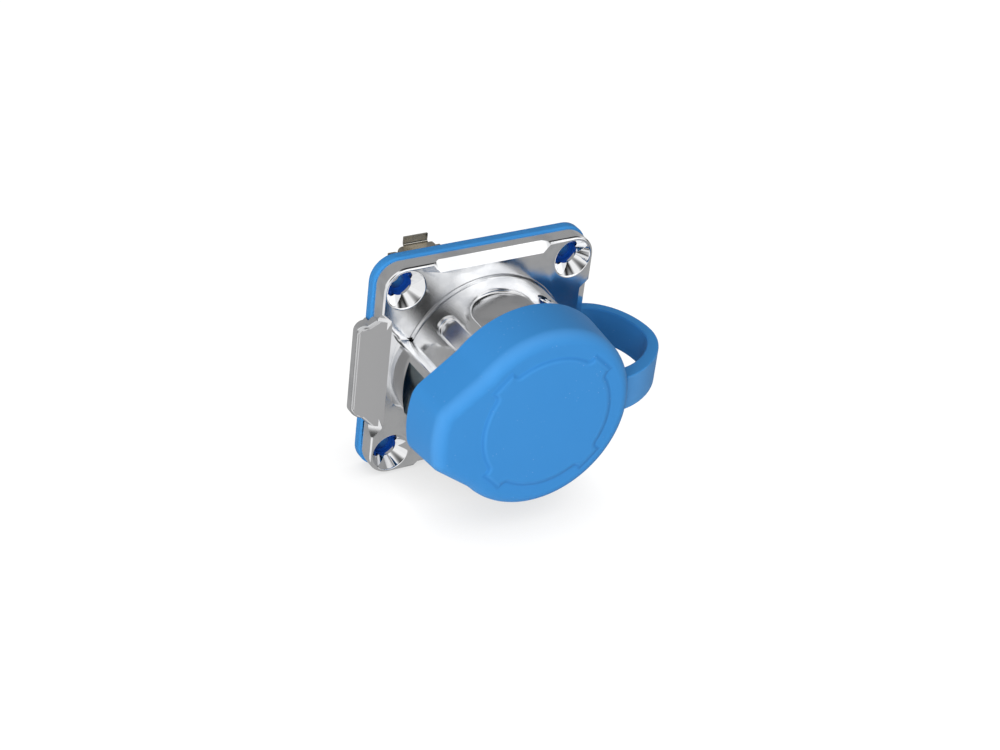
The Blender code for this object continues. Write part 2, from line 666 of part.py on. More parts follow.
def front_carrier():
    rear = BOARD_FRONT_Y - CLEARANCE
    seal_half = SEAL_THICKNESS / 2 + CLEARANCE
    floor = INSERT_BORE_RADIUS - 2 * CLEARANCE - SEAL_THICKNESS
    profile = [
        (0, CARRIER_FRONT_Y), (CARRIER_RADIUS, CARRIER_FRONT_Y),
        (CARRIER_RADIUS, SEAL_Y - seal_half), (floor, SEAL_Y - seal_half),
        (floor, SEAL_Y + seal_half), (CARRIER_RADIUS, SEAL_Y + seal_half),
        (CARRIER_RADIUS, rear), (0, rear)]
    carrier = part("front_carrier", turned_solid(profile, ROUND_STEPS), DARK_PLASTIC)
    half_x = SHELL_HALF_X + CLEARANCE
    half_z = SHELL_HALF_Z + CLEARANCE
    opening = box((-half_x, CARRIER_FRONT_Y - OVERRUN, -half_z), (half_x, rear + OVERRUN, half_z))
    cut(carrier, tool("front_carrier_opening", opening))
    return carrier


def rear_carrier():
    ring_front = BARREL_LENGTH - RING_THICKNESS - CLEARANCE
    step = ring_front - CLEARANCE
    profile = [
        (0, BOARD_FRONT_Y), (CARRIER_RADIUS, BOARD_FRONT_Y), (CARRIER_RADIUS, step),
        (REAR_BOSS_RADIUS, step), (REAR_BOSS_RADIUS, REAR_BOSS_END),
        (0, REAR_BOSS_END)]
    carrier = part("rear_carrier", turned_solid(profile, ROUND_STEPS), DARK_PLASTIC)
    half_x = SHELL_HALF_X + CLEARANCE
    half_z = SHELL_HALF_Z + CLEARANCE
    opening = box((-half_x, BOARD_FRONT_Y - OVERRUN, -half_z),
                  (half_x, REAR_BOSS_END + OVERRUN, half_z))
    cut(carrier, tool("rear_carrier_opening", opening))
    pocket = box(
        (-BOARD_HALF_X - CLEARANCE, BOARD_FRONT_Y - OVERRUN, -BOARD_HALF_Z - CLEARANCE),
        (BOARD_HALF_X + CLEARANCE, BOARD_REAR_Y + CLEARANCE, BOARD_HALF_Z + CLEARANCE))
    cut(carrier, tool("board_pocket", pocket))
    return carrier


def retaining_ring():
    front = BARREL_LENGTH - RING_THICKNESS - CLEARANCE
    rear = BARREL_LENGTH - CLEARANCE
    profile = [(RING_INNER_RADIUS, front), (RING_OUTER_RADIUS, front),
               (RING_OUTER_RADIUS, rear), (RING_INNER_RADIUS, rear)]
    ring = part("retaining_ring", turned(profile, ROUND_STEPS), BRASS)
    for number in range(4):
        slot = box((-RING_THICKNESS / 2, rear - RING_THICKNESS / 2, 0),
                   (RING_THICKNESS / 2, rear + OVERRUN, RING_OUTER_RADIUS + OVERRUN))
        turn = Matrix.Rotation((number * 90 + 45) * DEGREE, 3, "Y")
        bmesh.ops.rotate(slot, verts=slot.verts, cent=(0, 0, 0), matrix=turn)
        cut(ring, tool(f"spanner_slot_{number + 1}", slot))
    return ring


def insert_seal():
    radius = INSERT_BORE_RADIUS - CLEARANCE - SEAL_THICKNESS / 2
    profile = []
    for i in range(SEAL_STEPS):
        angle = 2 * math.pi * i / SEAL_STEPS
        profile.append((radius + SEAL_THICKNESS / 2 * math.cos(angle),
                        SEAL_Y + SEAL_THICKNESS / 2 * math.sin(angle)))
    return part("insert_seal", turned(profile, ROUND_STEPS), SEAL_RUBBER)


def link_board():
    bm = box((-BOARD_HALF_X, BOARD_FRONT_Y, -BOARD_HALF_Z),
             (BOARD_HALF_X, BOARD_REAR_Y, BOARD_HALF_Z))
    return part("link_board", bm, BOARD_GREEN)


def port(side, mouth, inward):
    """One receptacle: folded shell, tongue with its base, and four contacts.

    inward is +1 where the port runs along +Y from its mouth and -1 where it runs along -Y.
    """
    back = mouth + inward * PORT_DEPTH
    outline = rounded_rectangle(SHELL_HALF_X, SHELL_HALF_Z, SHELL_THICKNESS * 2, 4)
    shell = part(side + "_port_shell", prism(outline, mouth, back), NICKEL)
    opening = rounded_rectangle(PORT_OPENING_WIDTH / 2, PORT_OPENING_LENGTH / 2,
                                SHELL_THICKNESS, 4)
    cut(shell, tool(side + "_shell_opening", prism(
        opening, mouth - inward * OVERRUN, back + inward * OVERRUN)))
    for sign in (-1, 1):
        reach = sign * (SHELL_HALF_X + LIP_REACH)
        start = sign * (SHELL_HALF_X - SHELL_THICKNESS / 2)
        half = SHELL_HALF_Z - LIP_INSET
        low = (min(reach, start), min(mouth, mouth + inward * SHELL_THICKNESS), -half)
        high = (max(reach, start), max(mouth, mouth + inward * SHELL_THICKNESS), half)
        join(shell, tool(f"{side}_long_lip_{sign + 2}", box(low, high)))
        reach = sign * (SHELL_HALF_Z + LIP_REACH)
        start = sign * (SHELL_HALF_Z - SHELL_THICKNESS / 2)
        half = SHELL_HALF_X - LIP_INSET
        low = (-half, min(mouth, mouth + inward * SHELL_THICKNESS), min(reach, start))
        high = (half, max(mouth, mouth + inward * SHELL_THICKNESS), max(reach, start))
        join(shell, tool(f"{side}_short_lip_{sign + 2}", box(low, high)))

    half_x = PORT_OPENING_WIDTH / 2 - CLEARANCE
    half_z = PORT_OPENING_LENGTH / 2 - CLEARANCE
    base_front = back - inward * PORT_BASE_LENGTH
    base = box((-half_x, min(base_front, back), -half_z), (half_x, max(base_front, back), half_z))
    tongue = part(side + "_port_tongue", base, WHITE_PLASTIC)
    tip = mouth + inward * TONGUE_SETBACK
    root = base_front + inward * OVERRUN
    blade_half = PORT_OPENING_LENGTH / 2 - TONGUE_MARGIN
    blade = box(
        (TONGUE_OFFSET - TONGUE_THICKNESS / 2, min(tip, root), -blade_half),
        (TONGUE_OFFSET + TONGUE_THICKNESS / 2, max(tip, root), blade_half))
    join(tongue, tool(side + "_tongue_blade", blade))

    face = TONGUE_OFFSET + TONGUE_THICKNESS / 2 + CLEARANCE
    contact_tip = tip + inward * CONTACT_SETBACK
    half = CONTACT_WIDTH / 2
    for number, place in enumerate(CONTACT_PLACES, 1):
        slot = box(
            (face - CLEARANCE, min(base_front, back) - OVERRUN, place - half - CLEARANCE),
            (face + CONTACT_THICKNESS + CLEARANCE, max(base_front, back) + OVERRUN,
             place + half + CLEARANCE))
        cut(tongue, tool(f"{side}_contact_slot_{number}", slot))
        strip = box((face, min(contact_tip, back), place - half),
                    (face + CONTACT_THICKNESS, max(contact_tip, back), place + half))
        part(f"{side}_contact_{number}", strip, GOLD)


flange_housing()
panel_gasket()
dust_cap()
cap_strap()
front_carrier()
rear_carrier()
retaining_ring()
insert_seal()
link_board()
port("front", FRONT_MOUTH_Y, 1)
port("rear", REAR_MOUTH_Y, -1)
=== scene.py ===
import math

import bmesh
import bpy
from mathutils import Matrix, Vector


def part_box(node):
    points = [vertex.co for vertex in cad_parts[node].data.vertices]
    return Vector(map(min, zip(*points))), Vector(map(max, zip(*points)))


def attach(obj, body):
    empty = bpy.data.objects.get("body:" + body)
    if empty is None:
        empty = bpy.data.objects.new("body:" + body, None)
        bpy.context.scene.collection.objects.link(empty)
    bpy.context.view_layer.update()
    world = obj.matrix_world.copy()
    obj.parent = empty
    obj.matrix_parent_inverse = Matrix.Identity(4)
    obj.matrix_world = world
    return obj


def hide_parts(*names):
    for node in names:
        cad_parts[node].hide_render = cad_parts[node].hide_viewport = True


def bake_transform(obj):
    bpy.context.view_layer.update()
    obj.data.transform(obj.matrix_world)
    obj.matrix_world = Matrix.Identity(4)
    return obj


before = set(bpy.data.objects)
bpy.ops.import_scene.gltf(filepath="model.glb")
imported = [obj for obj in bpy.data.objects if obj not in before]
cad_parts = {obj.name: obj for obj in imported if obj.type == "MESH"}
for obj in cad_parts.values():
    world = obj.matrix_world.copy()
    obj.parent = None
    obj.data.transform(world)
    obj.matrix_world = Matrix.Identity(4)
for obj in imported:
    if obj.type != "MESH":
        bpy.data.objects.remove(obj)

MM = 0.001
DEGREE = math.pi / 180

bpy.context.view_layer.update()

# Places read from the frame
HOUSING_LOW, HOUSING_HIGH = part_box("flange_housing")
GASKET_LOW, GASKET_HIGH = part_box("panel_gasket")
CAP_LOW, CAP_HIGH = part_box("dust_cap")
STRAP_LOW, STRAP_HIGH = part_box("cap_strap")
RING_LOW, RING_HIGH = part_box("retaining_ring")
REAR_CARRIER_LOW, REAR_CARRIER_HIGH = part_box("rear_carrier")
REAR_SHELL_LOW, REAR_SHELL_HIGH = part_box("rear_port_shell")
FRONT_SHELL_LOW, FRONT_SHELL_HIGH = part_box("front_port_shell")

FLANGE_HALF = HOUSING_HIGH.x
COLLAR_FRONT_Y = HOUSING_LOW.y
BARREL_REAR_Y = HOUSING_HIGH.y
PAD_TIP_X = HOUSING_LOW.x
GASKET_HALF = GASKET_HIGH.x
CAP_RADIUS = CAP_HIGH.x
CAP_NOSE_RADIUS = -CAP_LOW.x
CAP_SKIRT_Y = CAP_HIGH.y

# Shared fits
CLEARANCE = 0.3 * MM
OVERRUN = 1.0 * MM
TINY = 0.01 * MM
PROUD = 0.005 * MM

# Flange
GASKET_THICKNESS = 1.5 * MM
FLANGE_THICKNESS = 2.5 * MM
FLANGE_REAR_Y = -GASKET_THICKNESS
FLANGE_FRONT_Y = FLANGE_REAR_Y - FLANGE_THICKNESS
SCREW_HOLE_RADIUS = 1.5 * MM
COUNTERSINK_RADIUS = 2.75 * MM
COUNTERSINK_DEPTH = 1.6 * MM
HOLE_RIM_WIDTH = 0.45 * MM
HOLE_LIP_RADIUS = 0.4 * MM
CORNER_RADIUS = COUNTERSINK_RADIUS + HOLE_RIM_WIDTH
HOLE_PLACE = FLANGE_HALF - CORNER_RADIUS
FLANGE_EDGE_RADIUS = 0.4 * MM
EDGE_CHAMFER_WIDTH = 1.45 * MM
EDGE_CHAMFER_DEPTH = 0.9 * MM
BOSS_LENGTH = 8.0 * MM
BOSS_END_SLOPE = 0.95

# Finger pad
PAD_LENGTH = 16.0 * MM
PAD_START_X = -FLANGE_HALF + 1.6 * MM
PAD_TAPER = 0.9 * MM
PAD_CORNER_RADIUS = 1.3 * MM
PAD_SLOPE = 29 * DEGREE
PAD_EDGE_RADIUS = 0.45 * MM
PAD_EDGE_SATIN = 0.5
PAD_NOSE_DEPTH = 0.9 * MM
PAD_CHAMFER_DEPTH = 1.1 * MM
LATCH_RECESS_DEPTH = 0.4 * MM
RECESS_RAMP_WIDTH = 1.5 * MM
CHAMFER_EDGE_RADIUS = 0.25 * MM

# Collar
COLLAR_RADIUS = 12.1 * MM
COLLAR_EDGE_RADIUS = 0.5 * MM
COLLAR_GROOVE_WIDTH = 0.16 * MM
GROOVE_RIM_RADIUS = 0.2 * MM
COLLAR_GROOVE_DEPTH = 0.3 * MM
PLUG_BORE_RADIUS = 9.4 * MM
INSERT_BORE_RADIUS = 10.2 * MM
SHOULDER_Y = FLANGE_FRONT_Y - 9.0 * MM
GUARD_RADIUS = COLLAR_RADIUS + 1.55 * MM
GUARD_WIDTH = 9.7 * MM
GUARD_HALF_ANGLE = math.asin(GUARD_WIDTH / 2 / GUARD_RADIUS)
GUARD_SETBACK = 0.8 * MM
GUARD_EDGE_RADIUS = 0.45 * MM
GUARD_FOOT_RADIUS = 0.3 * MM
WINDOW_HALF = 3.9 * MM
WINDOW_START = 3.4 * MM
WINDOW_FRONT_BAR = 1.95 * MM
KEYWAY_DEPTH = 0.8 * MM
KEYWAY_FOOT_RADIUS = 0.45 * MM
KEYWAY_SATIN = 0.3
BARREL_RADIUS = 12.0 * MM
EDGE_BREAK = 0.1 * MM

# Gasket
GASKET_OVERHANG = GASKET_HALF - FLANGE_HALF
GASKET_EDGE_RADIUS = 0.3 * MM
GASKET_HOLE_RADIUS = 1.0 * MM
GASKET_DIMPLE_RADIUS = 1.65 * MM
GASKET_DIMPLE_DEPTH = 0.1 * MM

# Dust cap
CAP_WALL = 0.97 * MM
CAP_DRAFT = 0.4 * MM
CAP_INNER_DRAFT = 0.25 * MM
CAP_EDGE_RADIUS = 1.8 * MM
CAP_RIM_RADIUS = 0.35 * MM
CAP_CORNER_RADIUS = 3.15 * MM
CAP_NOSE_TURN = 9.3 * DEGREE
CAP_FLANK_DROP = 0.3 * MM
CAP_FILLET_RADIUS = 5.7 * MM
RELIEF_HEIGHT = 0.25 * MM
RELIEF_RADIUS = 9.3 * MM
RELIEF_SPOKE_HALF = 1.6 * MM
RELIEF_SPOKE_END = 0.15 * MM
RELIEF_FILLET_RADIUS = 0.9 * MM
RELIEF_SIDE_WIDTH = 1.1 * MM
RELIEF_END_STRETCH = 1.2
RELIEF_STEPS = 8
CAP_FRONT_Y = CAP_LOW.y + RELIEF_HEIGHT
CAP_INSIDE_Y = COLLAR_FRONT_Y - CLEARANCE

# Strap
STRAP_THICKNESS = 1.5 * MM
STRAP_END_THICKNESS = 2.3 * MM
STRAP_REACH = 6.6 * MM
STRAP_EDGE_RADIUS = 0.4 * MM
STRAP_END_SETBACK = 3.25 * MM
STRAP_END_PULL = 0.42
STRAP_SIDE_PULL = 0.55

# Painted light and shade on the blue parts, from -1 for painted shade to 1 for painted highlight
RELIEF_PAINTED_LIGHT_AND_SHADE = 0.62
CAP_EDGE_PAINTED_HIGHLIGHT = 0.16
STRAP_EDGE_PAINTED_HIGHLIGHT = 0.3
STRAP_INSIDE_PAINTED_SHADE = -0.5

# Receptacles and the ring that holds them
PORT_OPENING_WIDTH = 5.12 * MM
PORT_OPENING_LENGTH = 12.5 * MM
SHELL_THICKNESS = 0.3 * MM
LIP_INSET = 1.0 * MM
LIP_FOLD_RADIUS = 0.6 * MM
RING_WIDTH = 1.3 * MM

COLLAR_STEPS = 144
HOLE_STEPS = 64
STRAP_STEPS = 72


def new_collection(name):
    collection = bpy.data.collections.new(name)
    bpy.context.scene.collection.children.link(collection)
    return collection


LOOKS = new_collection("looks")


def make_object(name, bm, material=None, sharp_angle=32 * DEGREE):
    """Links a bmesh as an object, shaded smooth across edges flatter than sharp_angle."""
    mesh = bpy.data.meshes.new(name)
    bm.to_mesh(mesh)
    bm.free()
    mesh.shade_smooth()
    mesh.set_sharp_from_angle(angle=sharp_angle)
    made = bpy.data.objects.new(name, mesh)
    LOOKS.objects.link(made)
    if material:
        mesh.materials.append(material)
    return made


def block(low, high):
    bm = bmesh.new()
    middle = (Vector(low) + Vector(high)) / 2
    size = Vector(high) - Vector(low)
    bmesh.ops.create_cube(
        bm, size=1, matrix=Matrix.Translation(middle) @ Matrix.Diagonal((*size, 1)))
    return bm


def slab(outline, y_start, y_end):
    """Extrudes an outline of (x, z) points along Y."""
    bm = bmesh.new()
    base = bm.faces.new([bm.verts.new((x, y_start, z)) for x, z in outline])
    swept = bmesh.ops.extrude_face_region(bm, geom=[base])
    moved = [item for item in swept["geom"] if isinstance(item, bmesh.types.BMVert)]
    bmesh.ops.translate(bm, verts=moved, vec=(0, y_end - y_start, 0))
    bmesh.ops.recalc_face_normals(bm, faces=bm.faces)
    return bm


def spun(profile, steps, closed=False):
    """Turns a profile of (radius, y) points about the Y axis."""
    bm = bmesh.new()
    verts = [bm.verts.new((radius, y, 0)) for radius, y in profile]
    pairs = list(zip(verts, verts[1:]))
    if closed:
        pairs.append((verts[-1], verts[0]))
    edges = [bm.edges.new(pair) for pair in pairs]
    bmesh.ops.spin(
        bm, geom=verts + edges, cent=(0, 0, 0), axis=(0, 1, 0),
        angle=2 * math.pi, steps=steps, use_merge=True)
    bmesh.ops.remove_doubles(bm, verts=bm.verts, dist=TINY / 10)
    bmesh.ops.recalc_face_normals(bm, faces=bm.faces)
    return bm


def arc(centre, radius, start, end, steps):
    """Points of an arc from angle start to angle end, both included."""
    points = []
    for i in range(steps + 1):
        angle = start + (end - start) * i / steps
        points.append((centre[0] + radius * math.cos(angle),
                       centre[1] + radius * math.sin(angle)))
    return points


def bevel_edges(bm, wanted, width, segments, clamp=True):
    edges = [edge for edge in bm.edges if wanted(edge)]
    bmesh.ops.bevel(
        bm, geom=edges, offset=width, offset_type="OFFSET", affect="EDGES",
        segments=segments, profile=0.5, material=-1, clamp_overlap=clamp)


def edge_at_y(y):
    return lambda edge: all(abs(vert.co.y - y) < TINY for vert in edge.verts)


def edge_along_y(edge):
    direction = edge.verts[0].co - edge.verts[1].co
    return abs(direction.x) < TINY and abs(direction.z) < TINY


def turn_about_y(bm, angle):
    bmesh.ops.rotate(bm, verts=bm.verts, cent=(0, 0, 0), matrix=Matrix.Rotation(angle, 3, "Y"))


def combine(target, bm, operation):
    """Applies one exact Boolean to the target at once."""
    mesh = bpy.data.meshes.new("tool")
    bm.to_mesh(mesh)
    bm.free()
    tool = bpy.data.objects.new("tool", mesh)
    LOOKS.objects.link(tool)
    modifier = target.modifiers.new("shape", "BOOLEAN")
    modifier.operation = operation
    modifier.solver = "EXACT"
    modifier.object = tool
    bpy.context.view_layer.update()
    evaluated = target.evaluated_get(bpy.context.evaluated_depsgraph_get())
    result = bpy.data.meshes.new_from_object(evaluated)
    target.modifiers.clear()
    target.data = result
    bpy.data.objects.remove(tool, do_unlink=True)


def cut(target, bm):
    combine(target, bm, "DIFFERENCE")


def join(target, bm):
    combine(target, bm, "UNION")


def break_edges(target, width, angle, segments=3, wanted=None, clamp=True):
    """Rounds the wanted edges, or every edge, where they are sharper than the angle."""
    bm = bmesh.new()
    bm.from_mesh(target.data)
    bmesh.ops.remove_doubles(bm, verts=bm.verts, dist=TINY)
    bmesh.ops.dissolve_degenerate(bm, edges=bm.edges, dist=TINY)
    flat = [edge for edge in bm.edges
            if len(edge.link_faces) == 2 and edge.calc_face_angle(0) < 0.2 * DEGREE]
    bmesh.ops.dissolve_edges(bm, edges=flat, use_verts=True, use_face_split=False)
    sharp = [edge for edge in bm.edges
             if len(edge.link_faces) == 2 and edge.calc_face_angle(0) > angle
             and (wanted is None or wanted(edge))]
    bmesh.ops.bevel(
        bm, geom=sharp, offset=width, offset_type="OFFSET", affect="EDGES",
        segments=segments, profile=0.5, material=-1, clamp_overlap=clamp)
    bm.to_mesh(target.data)
    bm.free()


def weighted(target):
    """Keeps flat faces flat in the shading, beside their rounded edges."""
    modifier = target.modifiers.new("flat faces", "WEIGHTED_NORMAL")
    modifier.keep_sharp = True
    return target


def hole_places():
    return [(sx * HOLE_PLACE, sz * HOLE_PLACE) for sx in (-1, 1) for sz in (-1, 1)]


def flange_plate():
    bm = block((-FLANGE_HALF, FLANGE_FRONT_Y, -FLANGE_HALF),
               (FLANGE_HALF, FLANGE_REAR_Y, FLANGE_HALF))
    bevel_edges(bm, edge_along_y, CORNER_RADIUS, 14)
    bevel_edges(bm, edge_at_y(FLANGE_FRONT_Y), FLANGE_EDGE_RADIUS, 5)
    return bm


def edge_chamfer(turn, inner_half, slope):
    """Wedge that slopes one flange edge back, with a ramp up to the boss at each end."""
    inner = FLANGE_HALF - EDGE_CHAMFER_WIDTH
    low = inner - CLEARANCE
    high = FLANGE_HALF + OVERRUN
    low_half = inner_half + BOSS_END_SLOPE * (OVERRUN / slope - CLEARANCE)
    high_half = inner_half + BOSS_END_SLOPE * (OVERRUN / slope + high - inner)
    outline = [(-low_half, low), (low_half, low), (high_half, high), (-high_half, high)]
    bm = slab(outline, FLANGE_FRONT_Y - OVERRUN, FLANGE_FRONT_Y)
    for vert in bm.verts:
        if vert.co.y > FLANGE_FRONT_Y - OVERRUN / 2:
            vert.co.y = FLANGE_FRONT_Y + slope * (vert.co.z - inner)
            vert.co.x = math.copysign(inner_half, vert.co.x)
    turn_about_y(bm, turn)
    return bm


def finger_pad():
    half = PAD_LENGTH / 2
    corner = (PAD_TIP_X + PAD_CORNER_RADIUS, half - PAD_TAPER - PAD_CORNER_RADIUS)
    outline = [(PAD_START_X, half), (-FLANGE_HALF, half)]
    outline += arc(corner, PAD_CORNER_RADIUS, math.pi / 2, math.pi, 8)
    outline += [(x, -z) for x, z in reversed(outline)]
    bm = slab(outline, FLANGE_FRONT_Y, FLANGE_REAR_Y + PAD_NOSE_DEPTH)
    for vert in bm.verts:
        if vert.co.y < FLANGE_FRONT_Y + CLEARANCE:
            vert.co.y = FLANGE_FRONT_Y + math.tan(PAD_SLOPE) * (PAD_START_X - vert.co.x)

    def outer_front(edge):
        middle = (edge.verts[0].co + edge.verts[1].co) / 2
        on_slope = all(
            abs(vert.co.y - FLANGE_FRONT_Y - math.tan(PAD_SLOPE) * (PAD_START_X - vert.co.x)) < TINY
            for vert in edge.verts)
        return on_slope and middle.x < -FLANGE_HALF - CLEARANCE

    bevel_edges(bm, outer_front, PAD_EDGE_RADIUS, 5, clamp=False)
    pad = make_object("pad", bm)
    reach = half + OVERRUN
    cut(pad, block((-GASKET_HALF - CLEARANCE, FLANGE_REAR_Y, -reach), (0, OVERRUN, reach)))
    bm = bmesh.new()
    bm.from_mesh(pad.data)
    bpy.data.objects.remove(pad, do_unlink=True)
    return bm


def latch_recess():
    """Shallow field that widens from the latch guard to the pad, with a ramp on each side."""
    wide = PAD_LENGTH / 2
    narrow = GUARD_WIDTH / 2
    inner = COLLAR_RADIUS * math.cos(math.asin(narrow / COLLAR_RADIUS))
    outside = PAD_START_X - 1.6 * MM
    floor = FLANGE_FRONT_Y + LATCH_RECESS_DEPTH
    rise = (LATCH_RECESS_DEPTH + OVERRUN) / LATCH_RECESS_DEPTH
    outline = [(PAD_START_X, -wide), (-inner, -narrow), (-inner, narrow), (PAD_START_X, wide),
               (outside, wide), (outside, -wide)]
    bm = slab(outline, FLANGE_FRONT_Y - OVERRUN, floor)
    for vert in bm.verts:
        side = math.copysign(RECESS_RAMP_WIDTH, vert.co.z)
        if vert.co.y > floor - TINY:
            vert.co.z -= side
        else:
            vert.co.z += side * (rise - 1)
    return bm


def collar():
    edge = arc((COLLAR_RADIUS - COLLAR_EDGE_RADIUS, COLLAR_FRONT_Y + COLLAR_EDGE_RADIUS),
               COLLAR_EDGE_RADIUS, -math.pi / 2, 0, 5)
    profile = [(0, COLLAR_FRONT_Y)] + edge
    profile += [(COLLAR_RADIUS, FLANGE_REAR_Y - CLEARANCE), (0, FLANGE_REAR_Y - CLEARANCE)]
    return spun(profile, COLLAR_STEPS)


def collar_groove():
    outer = COLLAR_RADIUS + COLLAR_GROOVE_WIDTH
    floor = FLANGE_FRONT_Y + COLLAR_GROOVE_DEPTH
    front = FLANGE_FRONT_Y - OVERRUN / 2
    centre = (outer + GROOVE_RIM_RADIUS, FLANGE_FRONT_Y - PROUD + GROOVE_RIM_RADIUS)
    rim = arc(centre, GROOVE_RIM_RADIUS, 1.5 * math.pi, math.pi, 4)
    return spun([(COLLAR_RADIUS - CLEARANCE, front), (outer + GROOVE_RIM_RADIUS, front)] + rim +
                [(outer, floor), (COLLAR_RADIUS - CLEARANCE, floor)], COLLAR_STEPS, closed=True)


def latch_guard():
    """Raised wall on the latch side, round about the collar's axis."""
    outline = arc((0, 0), GUARD_RADIUS, math.pi - GUARD_HALF_ANGLE, math.pi + GUARD_HALF_ANGLE, 30)
    root = (PLUG_BORE_RADIUS + COLLAR_RADIUS) / 2 * math.cos(GUARD_HALF_ANGLE)
    outline += [(-root, -GUARD_WIDTH / 2), (-root, GUARD_WIDTH / 2)]
    front = COLLAR_FRONT_Y + GUARD_SETBACK
    bm = slab(outline, front, FLANGE_REAR_Y - CLEARANCE)

    def outer_corner(edge):
        return edge_along_y(edge) and edge.calc_face_angle(0) > 60 * DEGREE and \
            edge.verts[0].co.x < -COLLAR_RADIUS

    bevel_edges(bm, outer_corner, GUARD_EDGE_RADIUS, 4)
    return bm


def keyway(width, start, angle):
    """Flat-bottomed groove in the collar with a round end, open at the front."""
    floor = COLLAR_RADIUS - KEYWAY_DEPTH
    front = COLLAR_FRONT_Y - OVERRUN
    centre = FLANGE_FRONT_Y - start - width / 2
    outline = arc((0, centre), width / 2, 0, math.pi, 28)
    outline += [(-width / 2, front), (width / 2, front)]
    bm = bmesh.new()
    base = bm.faces.new([bm.verts.new((x, y, floor)) for x, y in outline])
    swept = bmesh.ops.extrude_face_region(bm, geom=[base])
    moved = [item for item in swept["geom"] if isinstance(item, bmesh.types.BMVert)]
    bmesh.ops.translate(bm, verts=moved, vec=(0, 0, COLLAR_RADIUS + OVERRUN - floor))
    bmesh.ops.recalc_face_normals(bm, faces=bm.faces)

    def foot(edge):
        return all(abs(vert.co.z - floor) < TINY for vert in edge.verts) and \
            any(vert.co.y > front + TINY for vert in edge.verts)

    bevel_edges(bm, foot, KEYWAY_FOOT_RADIUS, 6)
    turn_about_y(bm, math.pi / 2 - angle)
    return bm


def screw_hole(x, z):
    """Countersunk hole with a rounded rim."""
    depth = COUNTERSINK_RADIUS - SCREW_HOLE_RADIUS
    slope = math.atan2(COUNTERSINK_DEPTH, depth)
    reach = HOLE_LIP_RADIUS * math.tan(slope / 2)
    centre = (COUNTERSINK_RADIUS + reach, FLANGE_FRONT_Y - PROUD + HOLE_LIP_RADIUS)
    lip_arc = arc(centre, HOLE_LIP_RADIUS, 1.5 * math.pi, 1.5 * math.pi - slope, 6)
    profile = [(0, FLANGE_FRONT_Y - OVERRUN), (centre[0], FLANGE_FRONT_Y - OVERRUN)] + lip_arc
    profile += [
        (SCREW_HOLE_RADIUS, FLANGE_FRONT_Y + COUNTERSINK_DEPTH),
        (SCREW_HOLE_RADIUS, FLANGE_REAR_Y + OVERRUN), (0, FLANGE_REAR_Y + OVERRUN)]
    bm = spun(profile, HOLE_STEPS)
    bmesh.ops.translate(bm, verts=bm.verts, vec=(x, 0, z))
    return bm


def rear_barrel():
    chamfer = 0.4 * MM
    profile = [(0, FLANGE_FRONT_Y + OVERRUN), (BARREL_RADIUS, FLANGE_FRONT_Y + OVERRUN),
               (BARREL_RADIUS, BARREL_REAR_Y - chamfer),
               (BARREL_RADIUS - chamfer, BARREL_REAR_Y), (0, BARREL_REAR_Y)]
    return spun(profile, COLLAR_STEPS)


def housing_bore():
    profile = [
        (0, COLLAR_FRONT_Y - OVERRUN), (PLUG_BORE_RADIUS + OVERRUN, COLLAR_FRONT_Y - OVERRUN),
        (PLUG_BORE_RADIUS, COLLAR_FRONT_Y + CLEARANCE), (PLUG_BORE_RADIUS, SHOULDER_Y),
        (INSERT_BORE_RADIUS, SHOULDER_Y), (INSERT_BORE_RADIUS, BARREL_REAR_Y + OVERRUN),
        (0, BARREL_REAR_Y + OVERRUN)]
    return spun(profile, COLLAR_STEPS)


def on_countersink(middle, normal):
    """Tells whether a face of the casting belongs to a screw hole and its bright rim."""
    rim = COUNTERSINK_RADIUS + HOLE_LIP_RADIUS / 2
    return any(math.hypot(middle.x - x, middle.z - z) < rim for x, z in hole_places())


def satin_share(middle, normal):
    """How satin a face is left: all of it on the pad's slope, a part in the keyways."""
    radius = math.hypot(middle.x, middle.z)
    outwards = (normal.x * middle.x + normal.z * middle.z) / radius
    if middle.y < FLANGE_FRONT_Y - OVERRUN:
        in_keyway = outwards > 0.5 and PLUG_BORE_RADIUS < radius < COLLAR_RADIUS - EDGE_BREAK
        return KEYWAY_SATIN if in_keyway else 0
    on_pad = middle.x < PAD_START_X - EDGE_BREAK and abs(middle.z) < PAD_LENGTH / 2
    slope = Vector((-math.sin(PAD_SLOPE), -math.cos(PAD_SLOPE), 0))
    if on_pad and normal.dot(slope) > 0.99:
        return 1
    return PAD_EDGE_SATIN if on_pad and normal.y < -0.2 else 0


def mark_faces(target, name, wanted):
    """Stores how far each face has a finish, from 0 to 1, for the material to read."""
    marks = target.data.attributes.new(name, "FLOAT", "FACE")
    for face in target.data.polygons:
        marks.data[face.index].value = float(wanted(face.center, face.normal))


def beside_flange_side(edge):
    """Tells whether an edge is the long one between a flange chamfer and the side face."""
    depth = FLANGE_FRONT_Y + EDGE_CHAMFER_DEPTH
    return all(max(abs(vert.co.x), abs(vert.co.z)) > FLANGE_HALF - TINY
               and abs(vert.co.y - depth) < TINY for vert in edge.verts)


def away_from_cuts(edge):
    """Tells whether an edge lies clear of the screw holes and the collar's groove."""
    middle = (edge.verts[0].co + edge.verts[1].co) / 2
    reach = COUNTERSINK_RADIUS + HOLE_LIP_RADIUS
    if any(math.hypot(vert.co.x - x, vert.co.z - z) < reach
           for vert in edge.verts for x, z in hole_places()):
        return False
    groove_end = COLLAR_RADIUS + COLLAR_GROOVE_WIDTH + GROOVE_RIM_RADIUS + TINY
    in_groove = COLLAR_RADIUS - TINY < math.hypot(middle.x, middle.z) < groove_end
    return not (in_groove and middle.y > FLANGE_FRONT_Y - TINY)


